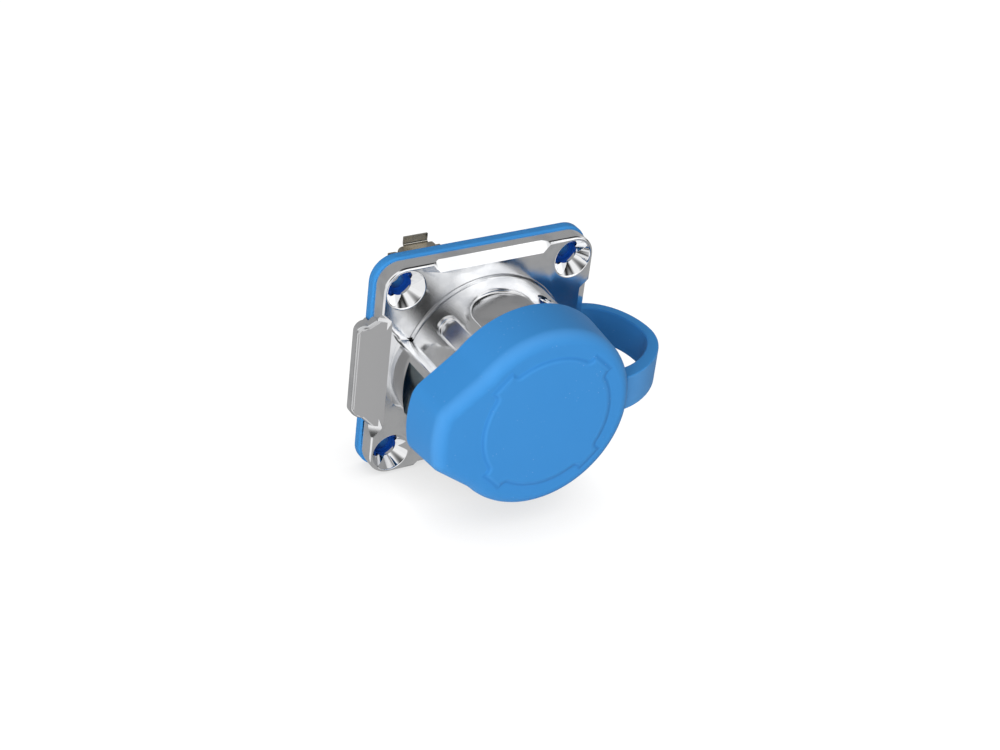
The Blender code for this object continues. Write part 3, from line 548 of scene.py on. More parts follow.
def at_guard_foot(edge):
    """Tells whether an edge lies where the latch guard stands on the flange."""
    near = all(abs(vert.co.y - FLANGE_FRONT_Y) < LATCH_RECESS_DEPTH + TINY for vert in edge.verts)
    middle = (edge.verts[0].co + edge.verts[1].co) / 2
    return near and abs(math.hypot(middle.x, middle.z) - GUARD_RADIUS) < TINY * 5


def housing_casting(material):
    """Flange, finger pad, collar, latch guard and barrel of one polished casting."""
    casting = make_object("housing_casting", flange_plate())
    slope = EDGE_CHAMFER_DEPTH / EDGE_CHAMFER_WIDTH
    for turn in (0, 90, 180):
        cut(casting, edge_chamfer(turn * DEGREE, FLANGE_HALF - BOSS_LENGTH, slope))
    break_edges(casting, CHAMFER_EDGE_RADIUS, 20 * DEGREE, 4, beside_flange_side, clamp=False)
    pad_slope = PAD_CHAMFER_DEPTH / EDGE_CHAMFER_WIDTH
    cut(casting, edge_chamfer(270 * DEGREE, PAD_LENGTH / 2 + CLEARANCE, pad_slope))
    cut(casting, latch_recess())
    join(casting, finger_pad())
    join(casting, collar())
    join(casting, latch_guard())
    join(casting, rear_barrel())
    break_edges(casting, GUARD_FOOT_RADIUS, 40 * DEGREE, 4, at_guard_foot)
    cut(casting, housing_bore())
    cut(casting, keyway(8.6 * MM, 2.5 * MM, 100 * DEGREE))
    cut(casting, keyway(3.2 * MM, 2.4 * MM, 134 * DEGREE))
    cut(casting, keyway(2.2 * MM, 4.8 * MM, 66 * DEGREE))
    window_front = COLLAR_FRONT_Y + GUARD_SETBACK + WINDOW_FRONT_BAR
    cut(casting, block((-GUARD_RADIUS - OVERRUN, window_front, -WINDOW_HALF),
                       (-PLUG_BORE_RADIUS + OVERRUN, FLANGE_FRONT_Y - WINDOW_START, WINDOW_HALF)))
    cut(casting, collar_groove())
    for x, z in hole_places():
        cut(casting, screw_hole(x, z))
    break_edges(casting, EDGE_BREAK, 40 * DEGREE, wanted=away_from_cuts)
    mark_faces(casting, "mirror_finish", on_countersink)
    mark_faces(casting, "cast_finish", satin_share)
    return finish_piece(casting, material, "coupler", ["flange_housing"],
                        31 * DEGREE)


def mark_points(target, name, value_at):
    """Stores a value on every point, for the material to read."""
    marks = target.data.attributes.new(name, "FLOAT", "POINT")
    for point in target.data.vertices:
        marks.data[point.index].value = value_at(point.co, point.normal)


def gasket_painted_shade(place, normal):
    """Painted shade: deep blue round the screw holes, where little light comes in."""
    if place.y > FLANGE_REAR_Y + GASKET_DIMPLE_DEPTH + TINY:
        return 0.0
    reach = GASKET_DIMPLE_RADIUS + TINY
    return -float(any(math.hypot(place.x - x, place.z - z) < reach for x, z in hole_places()))


def cap_painted_light_and_shade(place, normal):
    """Painted highlight along rounded edges and on the relief's shoulder, painted shade at the foot
    of the relief.
    """
    share = (CAP_FRONT_Y - place.y) / RELIEF_HEIGHT
    if share > 0:
        return RELIEF_PAINTED_LIGHT_AND_SHADE * (math.sin(math.pi * share) ** 2) * (1.6 * share - 1)
    share = (place.y - CAP_FRONT_Y) / CAP_EDGE_RADIUS
    if 0 < share < 1:
        return CAP_EDGE_PAINTED_HIGHLIGHT * math.sin(math.pi * share)
    return 0.0


def strap_painted_light_and_shade(place, normal):
    """Painted highlight on the rounded edges, painted shade on the inside of the loop."""
    edge = min(place.z - STRAP_LOW.z, STRAP_HIGH.z - place.z) / STRAP_EDGE_RADIUS
    pale = STRAP_EDGE_PAINTED_HIGHLIGHT * math.sin(math.pi * min(edge, 1))
    return pale + STRAP_INSIDE_PAINTED_SHADE * min(1, max(0, -2 * normal.x))


def rounded_outline(half_x, half_z, radius, steps):
    outline = []
    for x, z, start in ((1, 1, 0), (-1, 1, 90), (-1, -1, 180), (1, -1, 270)):
        outline += arc((x * (half_x - radius), z * (half_z - radius)), radius,
                       start * DEGREE, (start + 90) * DEGREE, steps)
    return outline


def finish_piece(target, material, body, nodes, angle=32 * DEGREE):
    """Gives a piece its material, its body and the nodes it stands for."""
    mesh = target.data
    mesh.materials.clear()
    mesh.materials.append(material)
    mesh.shade_smooth()
    mesh.set_sharp_from_angle(angle=angle)
    if body:
        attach(target, body)
    if nodes:
        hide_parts(*nodes)
    return weighted(target)


def panel_gasket(material):
    outline = rounded_outline(GASKET_HALF, GASKET_HALF, CORNER_RADIUS + GASKET_OVERHANG, 14)
    bm = slab(outline, FLANGE_REAR_Y, GASKET_HIGH.y)
    bevel_edges(bm, edge_at_y(FLANGE_REAR_Y), GASKET_EDGE_RADIUS, 4)
    bevel_edges(bm, edge_at_y(GASKET_HIGH.y), GASKET_EDGE_RADIUS, 4)
    gasket = make_object("panel_gasket_moulding", bm)
    front = FLANGE_REAR_Y - OVERRUN
    opening = BARREL_RADIUS + CLEARANCE
    cut(gasket, spun([(0, front), (opening, front), (opening, OVERRUN), (0, OVERRUN)], COLLAR_STEPS))
    for x, z in hole_places():
        floor = FLANGE_REAR_Y + GASKET_DIMPLE_DEPTH
        bm = spun([(0, front), (GASKET_DIMPLE_RADIUS, front), (GASKET_DIMPLE_RADIUS, floor),
                   (GASKET_HOLE_RADIUS, floor), (GASKET_HOLE_RADIUS, OVERRUN), (0, OVERRUN)],
                  HOLE_STEPS)
        bmesh.ops.translate(bm, verts=bm.verts, vec=(x, 0, z))
        cut(gasket, bm)
    # Painted shade round the screw holes.
    mark_points(gasket, "painted_light_and_shade", gasket_painted_shade)
    return finish_piece(gasket, material, "coupler", ["panel_gasket"])


def cap_outline(inset, detail=3):
    """Outline of the cap: a circle with a rounded nose at -X, drawn inwards by inset."""
    corner_angle = math.pi - GUARD_HALF_ANGLE + CAP_NOSE_TURN
    corner_distance = CAP_NOSE_RADIUS - CAP_CORNER_RADIUS
    flank = CAP_RADIUS - CAP_FLANK_DROP
    flank_angle = corner_angle - math.acos((flank - CAP_CORNER_RADIUS) / corner_distance)
    corner = Vector((math.cos(corner_angle), math.sin(corner_angle))) * corner_distance
    normal = Vector((math.cos(flank_angle), math.sin(flank_angle)))
    along = Vector((-normal.y, normal.x))
    reach = flank + CAP_FILLET_RADIUS
    distance = CAP_RADIUS + CAP_FILLET_RADIUS
    fillet = normal * reach + along * math.sqrt(distance ** 2 - reach ** 2)
    body_angle = math.atan2(fillet.y, fillet.x)
    radius = CAP_RADIUS - inset
    upper = arc((0, 0), radius, 0, body_angle, 30 * detail)
    upper += arc(fillet, CAP_FILLET_RADIUS + inset, body_angle - math.pi,
                 flank_angle - math.pi, 3 * detail)[1:]
    upper += arc(corner, CAP_CORNER_RADIUS - inset, flank_angle, corner_angle, 6 * detail)
    upper += arc((0, 0), CAP_NOSE_RADIUS - inset, corner_angle, math.pi, 4 * detail)[1:]
    lower = [(x, -z) for x, z in reversed(upper[1:-1])]
    return upper + lower


def relief_outline(swell):
    """Disc with four diagonal spokes, filleted where they meet, grown by swell."""
    radius = RELIEF_RADIUS + swell
    half = RELIEF_SPOKE_HALF + swell
    fillet = RELIEF_FILLET_RADIUS - swell
    reach = math.sqrt((radius + fillet) ** 2 - (half + fillet) ** 2)
    foot = math.atan2(half + fillet, reach)
    spoke_end = CAP_RADIUS - CAP_DRAFT - CAP_EDGE_RADIUS - RELIEF_SPOKE_END
    spoke_end += (swell - RELIEF_SIDE_WIDTH / 2) * RELIEF_END_STRETCH
    outline = []
    for quarter in range(4):
        middle = math.pi / 4 + quarter * math.pi / 2
        out = Vector((math.cos(middle), math.sin(middle)))
        side = Vector((-out.y, out.x))
        outline += arc((0, 0), radius, middle - math.pi / 2 + foot, middle - foot, 40)
        centre = out * reach - side * (half + fillet)
        outline += arc(centre, fillet, middle - foot + math.pi, middle + math.pi / 2, 8)[1:]
        outline.append(tuple(out * spoke_end - side * half))
        outline.append(tuple(out * spoke_end + side * half))
        centre = out * reach + side * (half + fillet)
        outline += arc(centre, fillet, middle - math.pi / 2, middle + foot - math.pi, 8)[:-1]
    return outline


def cap_relief():
    """Raised disc and spokes whose sides rise in a soft curve from the cap's front."""
    bm = bmesh.new()
    rings = []
    sections = [(CAP_FRONT_Y + OVERRUN / 2, RELIEF_SIDE_WIDTH / 2)]
    for i in range(RELIEF_STEPS + 1):
        share = i / RELIEF_STEPS
        rise = share * share * (3 - 2 * share)
        sections.append((CAP_FRONT_Y + TINY - (RELIEF_HEIGHT + TINY) * rise,
                         RELIEF_SIDE_WIDTH * (0.5 - share)))
    for y, swell in sections:
        rings.append([bm.verts.new((x, y, z)) for x, z in relief_outline(swell)])
    count = len(rings[0])
    for low, high in zip(rings, rings[1:]):
        for i in range(count):
            bm.faces.new((low[i], low[(i + 1) % count], high[(i + 1) % count], high[i]))
    bm.faces.new(rings[0][::-1])
    bm.faces.new(rings[-1])
    bmesh.ops.recalc_face_normals(bm, faces=bm.faces)
    return bm


def dust_cap(material):
    bm = slab(cap_outline(0), CAP_SKIRT_Y, CAP_FRONT_Y)
    front = [vert for vert in bm.verts if abs(vert.co.y - CAP_FRONT_Y) < TINY]
    narrower = cap_outline(CAP_DRAFT)
    for vert, (x, z) in zip(front, narrower):
        vert.co.x = x
        vert.co.z = z
    bevel_edges(bm, edge_at_y(CAP_FRONT_Y), CAP_EDGE_RADIUS, 10, clamp=False)
    cap = make_object("dust_cap_moulding", bm)
    hollow = slab(cap_outline(CAP_WALL), CAP_SKIRT_Y + OVERRUN, CAP_INSIDE_Y)
    bottom = [vert for vert in hollow.verts if abs(vert.co.y - CAP_INSIDE_Y) < TINY]
    for vert, (x, z) in zip(bottom, cap_outline(CAP_WALL + CAP_INNER_DRAFT)):
        vert.co.x = x
        vert.co.z = z
    cut(cap, hollow)
    bm = bmesh.new()
    bm.from_mesh(cap.data)
    bevel_edges(bm, edge_at_y(CAP_SKIRT_Y), CAP_RIM_RADIUS, 4)
    bm.to_mesh(cap.data)
    bm.free()
    join(cap, cap_relief())
    # Painted highlight on the rounded edges, painted light and shade on the relief.
    mark_points(cap, "painted_light_and_shade", cap_painted_light_and_shade)
    return finish_piece(cap, material, "cap", ["dust_cap"], 50 * DEGREE)


def strap_path(steps):
    """Points and directions of the strap from the gasket's edge to the cap's side."""
    root = Vector((FLANGE_HALF + GASKET_OVERHANG, FLANGE_REAR_Y + STRAP_THICKNESS / 2))
    end = Vector((CAP_RADIUS - CAP_DRAFT / 2, CAP_FRONT_Y + STRAP_END_SETBACK))
    far = Vector((FLANGE_HALF + STRAP_REACH, (root.y + end.y) / 2))
    span = abs(far.y - root.y)
    outwards = Vector((span * STRAP_END_PULL, 0))
    rearwards = Vector((0, span * STRAP_SIDE_PULL))
    pieces = [(root, root + outwards, far + rearwards, far),
              (far, far - rearwards, end + outwards, end)]
    path = []
    for number, (a, b, c, d) in enumerate(pieces):
        for i in range(number, steps // 2 + 1):
            t = i / (steps // 2)
            u = 1 - t
            point = a * u ** 3 + b * 3 * u * u * t + c * 3 * u * t * t + d * t ** 3
            tangent = (b - a) * u * u + (c - b) * 2 * u * t + (d - c) * t * t
            path.append((point, tangent.normalized()))
    return path


def cap_strap(material):
    left = []
    right = []
    path = strap_path(STRAP_STEPS)
    for i, (point, direction) in enumerate(path):
        share = i / (len(path) - 1)
        thickness = STRAP_THICKNESS + (STRAP_END_THICKNESS - STRAP_THICKNESS) * share ** 4
        side = Vector((-direction.y, direction.x)) * thickness / 2
        left.append(point + side)
        right.append(point - side)
    bm = bmesh.new()
    base = bm.faces.new([bm.verts.new((p.x, p.y, STRAP_LOW.z)) for p in left + right[::-1]])
    swept = bmesh.ops.extrude_face_region(bm, geom=[base])
    moved = [item for item in swept["geom"] if isinstance(item, bmesh.types.BMVert)]
    bmesh.ops.translate(bm, verts=moved, vec=(0, 0, STRAP_HIGH.z - STRAP_LOW.z))
    bmesh.ops.recalc_face_normals(bm, faces=bm.faces)
    bevel_edges(bm, lambda edge: abs(edge.verts[0].co.z - edge.verts[1].co.z) < TINY,
                STRAP_EDGE_RADIUS, 4)
    strap = make_object("cap_strap_moulding", bm)
    # Painted highlight on the edges, painted shade inside the loop.
    mark_points(strap, "painted_light_and_shade", strap_painted_light_and_shade)
    finish_piece(strap, material, None, ["cap_strap"], 50 * DEGREE)
    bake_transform(strap)
    return strap


def lip(half_width, reach):
    """One folded-out lip of a shell: a curved quarter and a flat flange, along X."""
    inner = arc((LIP_FOLD_RADIUS, LIP_FOLD_RADIUS), LIP_FOLD_RADIUS, math.pi, 1.5 * math.pi, 6)
    section = inner + [(reach, 0)]
    bm = bmesh.new()
    verts = [bm.verts.new((-half_width, y, z)) for z, y in section]
    edges = [bm.edges.new(pair) for pair in zip(verts, verts[1:])]
    swept = bmesh.ops.extrude_edge_only(bm, edges=edges)
    moved = [item for item in swept["geom"] if isinstance(item, bmesh.types.BMVert)]
    bmesh.ops.translate(bm, verts=moved, vec=(2 * half_width, 0, 0))
    return bm


def port_shell(side, inward, material):
    """Folded sheet shell of one receptacle with four lips turned out round its mouth."""
    low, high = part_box(side + "_port_shell")
    mouth = low.y if inward > 0 else high.y
    back = high.y if inward > 0 else low.y
    half_x = PORT_OPENING_WIDTH / 2 + SHELL_THICKNESS
    half_z = PORT_OPENING_LENGTH / 2 + SHELL_THICKNESS
    outline = rounded_outline(half_x, half_z, SHELL_THICKNESS * 2, 6)
    front = mouth + inward * LIP_FOLD_RADIUS
    shell = make_object(side + "_receptacle_shell", slab(outline, front, back))
    inner = rounded_outline(half_x - SHELL_THICKNESS, half_z - SHELL_THICKNESS, SHELL_THICKNESS, 6)
    cut(shell, slab(inner, front - inward * OVERRUN, back + inward * OVERRUN))
    sides = ((0, half_x - LIP_INSET, half_z, high.z), (180, half_x - LIP_INSET, half_z, high.z),
             (90, half_z - LIP_INSET, half_x, high.x), (270, half_z - LIP_INSET, half_x, high.x))
    for turn, half_width, wall, tip in sides:
        bm = lip(half_width, tip - wall + SHELL_THICKNESS)
        bmesh.ops.solidify(bm, geom=bm.faces[:], thickness=SHELL_THICKNESS)
        bmesh.ops.recalc_face_normals(bm, faces=bm.faces)
        lows = min(vert.co.y for vert in bm.verts)
        bmesh.ops.translate(bm, verts=bm.verts, vec=(0, -lows, wall - SHELL_THICKNESS))
        if inward > 0:
            bmesh.ops.translate(bm, verts=bm.verts, vec=(0, mouth, 0))
        else:
            bmesh.ops.scale(bm, verts=bm.verts, vec=(1, -1, 1))
            bmesh.ops.translate(bm, verts=bm.verts, vec=(0, mouth, 0))
            bmesh.ops.reverse_faces(bm, faces=bm.faces)
        turn_about_y(bm, turn * DEGREE)
        join(shell, bm)
    return finish_piece(shell, material, "coupler", [side + "_port_shell"])


def retaining_ring(material):
    inner = RING_HIGH.x - RING_WIDTH
    profile = [(inner, RING_LOW.y), (RING_HIGH.x, RING_LOW.y), (RING_HIGH.x, RING_HIGH.y),
               (inner, RING_HIGH.y)]
    bm = spun(profile, COLLAR_STEPS, closed=True)
    ring = make_object("retaining_ring_turned", bm)
    thickness = RING_HIGH.y - RING_LOW.y
    for number in range(4):
        slot = block((-thickness / 2, RING_HIGH.y - thickness / 2, 0),
                     (thickness / 2, RING_HIGH.y + OVERRUN, RING_HIGH.x + OVERRUN))
        turn_about_y(slot, (number * 90 + 45) * DEGREE)
        cut(ring, slot)
    break_edges(ring, EDGE_BREAK, 40 * DEGREE)
    return finish_piece(ring, material, "coupler", ["retaining_ring"])


def add_node(tree, kind, place, **settings):
    """Adds a node; settings name its properties, and a dict of inputs its values."""
    made = tree.nodes.new(kind)
    made.location = place
    values = settings.pop("values", {})
    for key, value in settings.items():
        setattr(made, key, value)
    for key, value in values.items():
        made.inputs[key].default_value = value
    return made


def new_group(name, inputs, outputs):
    """Starts a shader node group with named inputs and outputs."""
    group = bpy.data.node_groups.new(name, "ShaderNodeTree")
    for label, kind, value in inputs:
        made = group.interface.new_socket(name=label, in_out="INPUT", socket_type=kind)
        if value is not None:
            made.default_value = value
    for label, kind in outputs:
        group.interface.new_socket(name=label, in_out="OUTPUT", socket_type=kind)
    source = add_node(group, "NodeGroupInput", (-900, 0))
    result = add_node(group, "NodeGroupOutput", (700, 0))
    return group, source, result


def polish_group():
    """Hand-polished casting: slow waves, haze in patches and hairline rubbing."""
    group, source, result = new_group(
        "polished_metal",
        [("Vector", "NodeSocketVector", None), ("Tint", "NodeSocketColor", (0.5, 0.5, 0.5, 1)),
         ("Haze", "NodeSocketColor", (0.4, 0.4, 0.4, 1)),
         ("Smooth", "NodeSocketFloat", 0.06), ("Rubbed", "NodeSocketFloat", 0.16),
         ("Patch Scale", "NodeSocketFloat", 220.0), ("Wave Scale", "NodeSocketFloat", 120.0),
         ("Hairline", "NodeSocketFloat", 0.12), ("Mirror", "NodeSocketFloat", 0.0),
         ("Cast", "NodeSocketFloat", 0.0), ("Cast Tint", "NodeSocketColor", (0.4, 0.4, 0.4, 1))],
        [("Color", "NodeSocketColor"), ("Roughness", "NodeSocketFloat"),
         ("Height", "NodeSocketFloat")])
    links = group.links
    patches = add_node(group, "ShaderNodeTexNoise", (-600, 200), values={"Detail": 4.0})
    links.new(source.outputs["Vector"], patches.inputs["Vector"])
    links.new(source.outputs["Patch Scale"], patches.inputs["Scale"])
    mask = add_node(group, "ShaderNodeMapRange", (-380, 200), interpolation_type="SMOOTHSTEP",
                    values={"From Min": 0.42, "From Max": 0.68})
    links.new(patches.outputs["Fac"], mask.inputs["Value"])
    tint = add_node(group, "ShaderNodeMix", (-100, 260), data_type="RGBA")
    links.new(mask.outputs["Result"], tint.inputs["Factor"])
    links.new(source.outputs["Tint"], tint.inputs["A"])
    links.new(source.outputs["Haze"], tint.inputs["B"])
    clean = add_node(group, "ShaderNodeMix", (120, 260), data_type="RGBA")
    links.new(source.outputs["Mirror"], clean.inputs["Factor"])
    links.new(tint.outputs["Result"], clean.inputs["A"])
    links.new(source.outputs["Tint"], clean.inputs["B"])
    satin = add_node(group, "ShaderNodeMix", (320, 260), data_type="RGBA")
    links.new(source.outputs["Cast"], satin.inputs["Factor"])
    links.new(clean.outputs["Result"], satin.inputs["A"])
    links.new(source.outputs["Cast Tint"], satin.inputs["B"])
    links.new(satin.outputs["Result"], result.inputs["Color"])
    rough = add_node(group, "ShaderNodeMix", (-100, 40), data_type="FLOAT")
    links.new(mask.outputs["Result"], rough.inputs["Factor"])
    links.new(source.outputs["Smooth"], rough.inputs["A"])
    links.new(source.outputs["Rubbed"], rough.inputs["B"])
    bright = add_node(group, "ShaderNodeMix", (120, 40), data_type="FLOAT",
                      values={"B": MIRROR_ROUGHNESS})
    links.new(source.outputs["Mirror"], bright.inputs["Factor"])
    links.new(rough.outputs["Result"], bright.inputs["A"])
    dull = add_node(group, "ShaderNodeMix", (320, 40), data_type="FLOAT",
                    values={"B": CAST_ROUGHNESS})
    links.new(source.outputs["Cast"], dull.inputs["Factor"])
    links.new(bright.outputs["Result"], dull.inputs["A"])
    links.new(dull.outputs["Result"], result.inputs["Roughness"])
    waves = add_node(group, "ShaderNodeTexNoise", (-600, -160), values={"Detail": 1.5})
    links.new(source.outputs["Vector"], waves.inputs["Vector"])
    links.new(source.outputs["Wave Scale"], waves.inputs["Scale"])
    stretch = add_node(group, "ShaderNodeMapping", (-760, -420),
                       values={"Scale": (5200.0, 900.0, 700.0), "Rotation": (0.3, 0.5, 0.9)})
    links.new(source.outputs["Vector"], stretch.inputs["Vector"])
    hairlines = add_node(group, "ShaderNodeTexNoise", (-560, -420),
                         values={"Scale": 1.0, "Detail": 2.0})
    links.new(stretch.outputs["Vector"], hairlines.inputs["Vector"])
    scaled = add_node(group, "ShaderNodeMath", (-330, -420), operation="MULTIPLY")
    links.new(hairlines.outputs["Fac"], scaled.inputs[0])
    links.new(source.outputs["Hairline"], scaled.inputs[1])
    total = add_node(group, "ShaderNodeMath", (-100, -260), operation="ADD")
    links.new(waves.outputs["Fac"], total.inputs[0])
    links.new(scaled.outputs["Value"], total.inputs[1])
    worked = add_node(group, "ShaderNodeMath", (-100, -420), operation="SUBTRACT")
    worked.inputs[0].default_value = 1.0
    links.new(source.outputs["Mirror"], worked.inputs[1])
    height = add_node(group, "ShaderNodeMath", (120, -260), operation="MULTIPLY")
    links.new(total.outputs["Value"], height.inputs[0])
    links.new(worked.outputs["Value"], height.inputs[1])
    links.new(height.outputs["Value"], result.inputs["Height"])
    return group


def moulding_group():
    """Moulded rubber or plastic: slow shade changes, a fine grain and pale dust, with painted shade
    and painted highlight laid on where a point mark asks for them.
    """
    group, source, result = new_group(
        "moulded_grain",
        [("Vector", "NodeSocketVector", None), ("Base", "NodeSocketColor", (0.5, 0.5, 0.5, 1)),
         ("Shade", "NodeSocketColor", (0.4, 0.4, 0.4, 1)),
         ("Dust", "NodeSocketColor", (0.7, 0.7, 0.7, 1)), ("Dust Share", "NodeSocketFloat", 0.1),
         ("Shade Scale", "NodeSocketFloat", 90.0), ("Grain Scale", "NodeSocketFloat", 5000.0),
         ("Smooth", "NodeSocketFloat", 0.45), ("Rough", "NodeSocketFloat", 0.6),
         ("Painted Light And Shade", "NodeSocketFloat", 0.0), ("Deep", "NodeSocketColor", (0.0, 0.0, 0.0, 1)),
         ("Pale", "NodeSocketColor", (1.0, 1.0, 1.0, 1))],
        [("Color", "NodeSocketColor"), ("Roughness", "NodeSocketFloat"),
         ("Height", "NodeSocketFloat")])
    links = group.links
    cloud = add_node(group, "ShaderNodeTexNoise", (-600, 260), values={"Detail": 3.0})
    links.new(source.outputs["Vector"], cloud.inputs["Vector"])
    links.new(source.outputs["Shade Scale"], cloud.inputs["Scale"])
    shade = add_node(group, "ShaderNodeMix", (-340, 300), data_type="RGBA")
    links.new(cloud.outputs["Fac"], shade.inputs["Factor"])
    links.new(source.outputs["Base"], shade.inputs["A"])
    links.new(source.outputs["Shade"], shade.inputs["B"])
    specks = add_node(group, "ShaderNodeTexVoronoi", (-600, 20), values={"Scale": 1500.0})
    links.new(source.outputs["Vector"], specks.inputs["Vector"])
    near = add_node(group, "ShaderNodeMapRange", (-400, 20), interpolation_type="SMOOTHSTEP",
                    values={"From Min": 0.16, "From Max": 0.04})
    links.new(specks.outputs["Distance"], near.inputs["Value"])
    thin = add_node(group, "ShaderNodeTexNoise", (-600, -220), values={"Scale": 260.0})
    links.new(source.outputs["Vector"], thin.inputs["Vector"])
    some = add_node(group, "ShaderNodeMapRange", (-400, -220), interpolation_type="SMOOTHSTEP",
                    values={"From Min": 0.52, "From Max": 0.66})
    links.new(thin.outputs["Fac"], some.inputs["Value"])
    both = add_node(group, "ShaderNodeMath", (-220, -60), operation="MULTIPLY")
    links.new(near.outputs["Result"], both.inputs[0])
    links.new(some.outputs["Result"], both.inputs[1])
    share = add_node(group, "ShaderNodeMath", (-60, -60), operation="MULTIPLY")
    links.new(both.outputs["Value"], share.inputs[0])
    links.new(source.outputs["Dust Share"], share.inputs[1])
    dusty = add_node(group, "ShaderNodeMix", (120, 220), data_type="RGBA")
    links.new(share.outputs["Value"], dusty.inputs["Factor"])
    links.new(shade.outputs["Result"], dusty.inputs["A"])
    links.new(source.outputs["Dust"], dusty.inputs["B"])
    colour = dusty.outputs["Result"]
    # Painted shade and painted highlight: the point mark mixes in the deep colour below zero and the
    # pale colour above zero.
    for x, label, limit in ((300, "Deep", -1.0), (500, "Pale", 1.0)):
        amount = add_node(group, "ShaderNodeMapRange", (x - 160, 420),
                          values={"From Min": 0.0, "From Max": limit})
        links.new(source.outputs["Painted Light And Shade"], amount.inputs["Value"])
        toned = add_node(group, "ShaderNodeMix", (x, 220), data_type="RGBA")
        links.new(amount.outputs["Result"], toned.inputs["Factor"])
        links.new(colour, toned.inputs["A"])
        links.new(source.outputs[label], toned.inputs["B"])
        colour = toned.outputs["Result"]
    links.new(colour, result.inputs["Color"])
    rough = add_node(group, "ShaderNodeMix", (120, 0), data_type="FLOAT")
    links.new(cloud.outputs["Fac"], rough.inputs["Factor"])
    links.new(source.outputs["Smooth"], rough.inputs["A"])
    links.new(source.outputs["Rough"], rough.inputs["B"])
    links.new(rough.outputs["Result"], result.inputs["Roughness"])
    grain = add_node(group, "ShaderNodeTexNoise", (-340, -440), values={"Detail": 2.0})
    links.new(source.outputs["Vector"], grain.inputs["Vector"])
    links.new(source.outputs["Grain Scale"], grain.inputs["Scale"])
    links.new(grain.outputs["Fac"], result.inputs["Height"])
    return group


def finished_material(name, group, values, bump, shader_values, marks=None):
    """Principled material whose colour, roughness and relief come from one group."""
    material = bpy.data.materials.new(name)
    material.use_nodes = True
    tree = material.node_tree
    shader = tree.nodes["Principled BSDF"]
    for key, value in shader_values.items():
        shader.inputs[key].default_value = value
    place = add_node(tree, "ShaderNodeTexCoord", (-900, 0))
    pattern = add_node(tree, "ShaderNodeGroup", (-640, 0), node_tree=group, values=values)
    relief = add_node(tree, "ShaderNodeBump", (-260, -260),
                      values={"Strength": bump[0], "Distance": bump[1]})
    links = tree.links
    links.new(place.outputs["Object"], pattern.inputs["Vector"])
    for number, (label, attribute) in enumerate((marks or {}).items()):
        mark = add_node(tree, "ShaderNodeAttribute", (-900, -240 - 180 * number),
                        attribute_name=attribute)
        links.new(mark.outputs["Fac"], pattern.inputs[label])
    links.new(pattern.outputs["Color"], shader.inputs["Base Color"])
    links.new(pattern.outputs["Roughness"], shader.inputs["Roughness"])
    links.new(pattern.outputs["Height"], relief.inputs["Height"])
    links.new(relief.outputs["Normal"], shader.inputs["Normal"])
    return material


def grey(level):
    return (level, level, level, 1)


def add_camera():
    """Camera at the photograph's viewing angle, rolled as the photograph is."""
    target = Vector((0, FLANGE_FRONT_Y, 0))
    azimuth = -33.10 * DEGREE
    elevation = 31.55 * DEGREE
    roll = 6.84 * DEGREE
    distance = 292.5 * MM
    back = Vector((math.sin(azimuth) * math.cos(elevation),
                   -math.cos(azimuth) * math.cos(elevation), math.sin(elevation)))
    data = bpy.data.cameras.new("camera")
    camera = bpy.data.objects.new("camera", data)
    bpy.context.scene.collection.objects.link(camera)
    camera.location = target + back * distance
    upright = (-back).to_track_quat("-Z", "Y").to_matrix()
    camera.rotation_mode = "QUATERNION"
    camera.rotation_quaternion = (upright @ Matrix.Rotation(roll, 3, "Z")).to_quaternion()
    data.lens = 79.2
    data.sensor_width = 36
    data.shift_x = 0.0184
    data.shift_y = -0.0193
    data.clip_start = 0.01
    data.clip_end = 10
    bpy.context.scene.camera = camera


MIRROR_ROUGHNESS = 0.05
CAST_ROUGHNESS = 0.36

POLISH = polish_group()
MOULDING = moulding_group()
CHROME = finished_material(
    "polished_casting", POLISH,
    {"Tint": (0.9, 0.905, 0.915, 1), "Haze": (0.78, 0.79, 0.81, 1), "Smooth": 0.12,
     "Rubbed": 0.2, "Patch Scale": 260.0, "Wave Scale": 260.0, "Hairline": 0.1,
     "Cast Tint": (0.43, 0.43, 0.435, 1)},
    (0.35, 0.05 * MM), {"Metallic": 1.0}, {"Mirror": "mirror_finish", "Cast": "cast_finish"})
NICKEL = finished_material(
    "nickel_sheet", POLISH,
    {"Tint": (0.48, 0.45, 0.39, 1), "Haze": (0.4, 0.37, 0.3, 1), "Smooth": 0.16,
     "Rubbed": 0.3, "Patch Scale": 500.0, "Wave Scale": 300.0, "Hairline": 0.2},
    (0.4, 0.02 * MM), {"Metallic": 1.0})
BRASS = finished_material(
    "plated_ring", POLISH,
    {"Tint": (0.62, 0.55, 0.4, 1), "Haze": (0.52, 0.45, 0.31, 1), "Smooth": 0.2,
     "Rubbed": 0.34, "Patch Scale": 500.0, "Wave Scale": 300.0, "Hairline": 0.35},
    (0.4, 0.02 * MM), {"Metallic": 1.0})
GOLD = finished_material(
    "gold_contact", POLISH,
    {"Tint": (0.86, 0.6, 0.22, 1), "Haze": (0.76, 0.5, 0.16, 1), "Smooth": 0.16,
     "Rubbed": 0.28, "Patch Scale": 900.0, "Wave Scale": 600.0, "Hairline": 0.2},
    (0.3, 0.01 * MM), {"Metallic": 1.0})
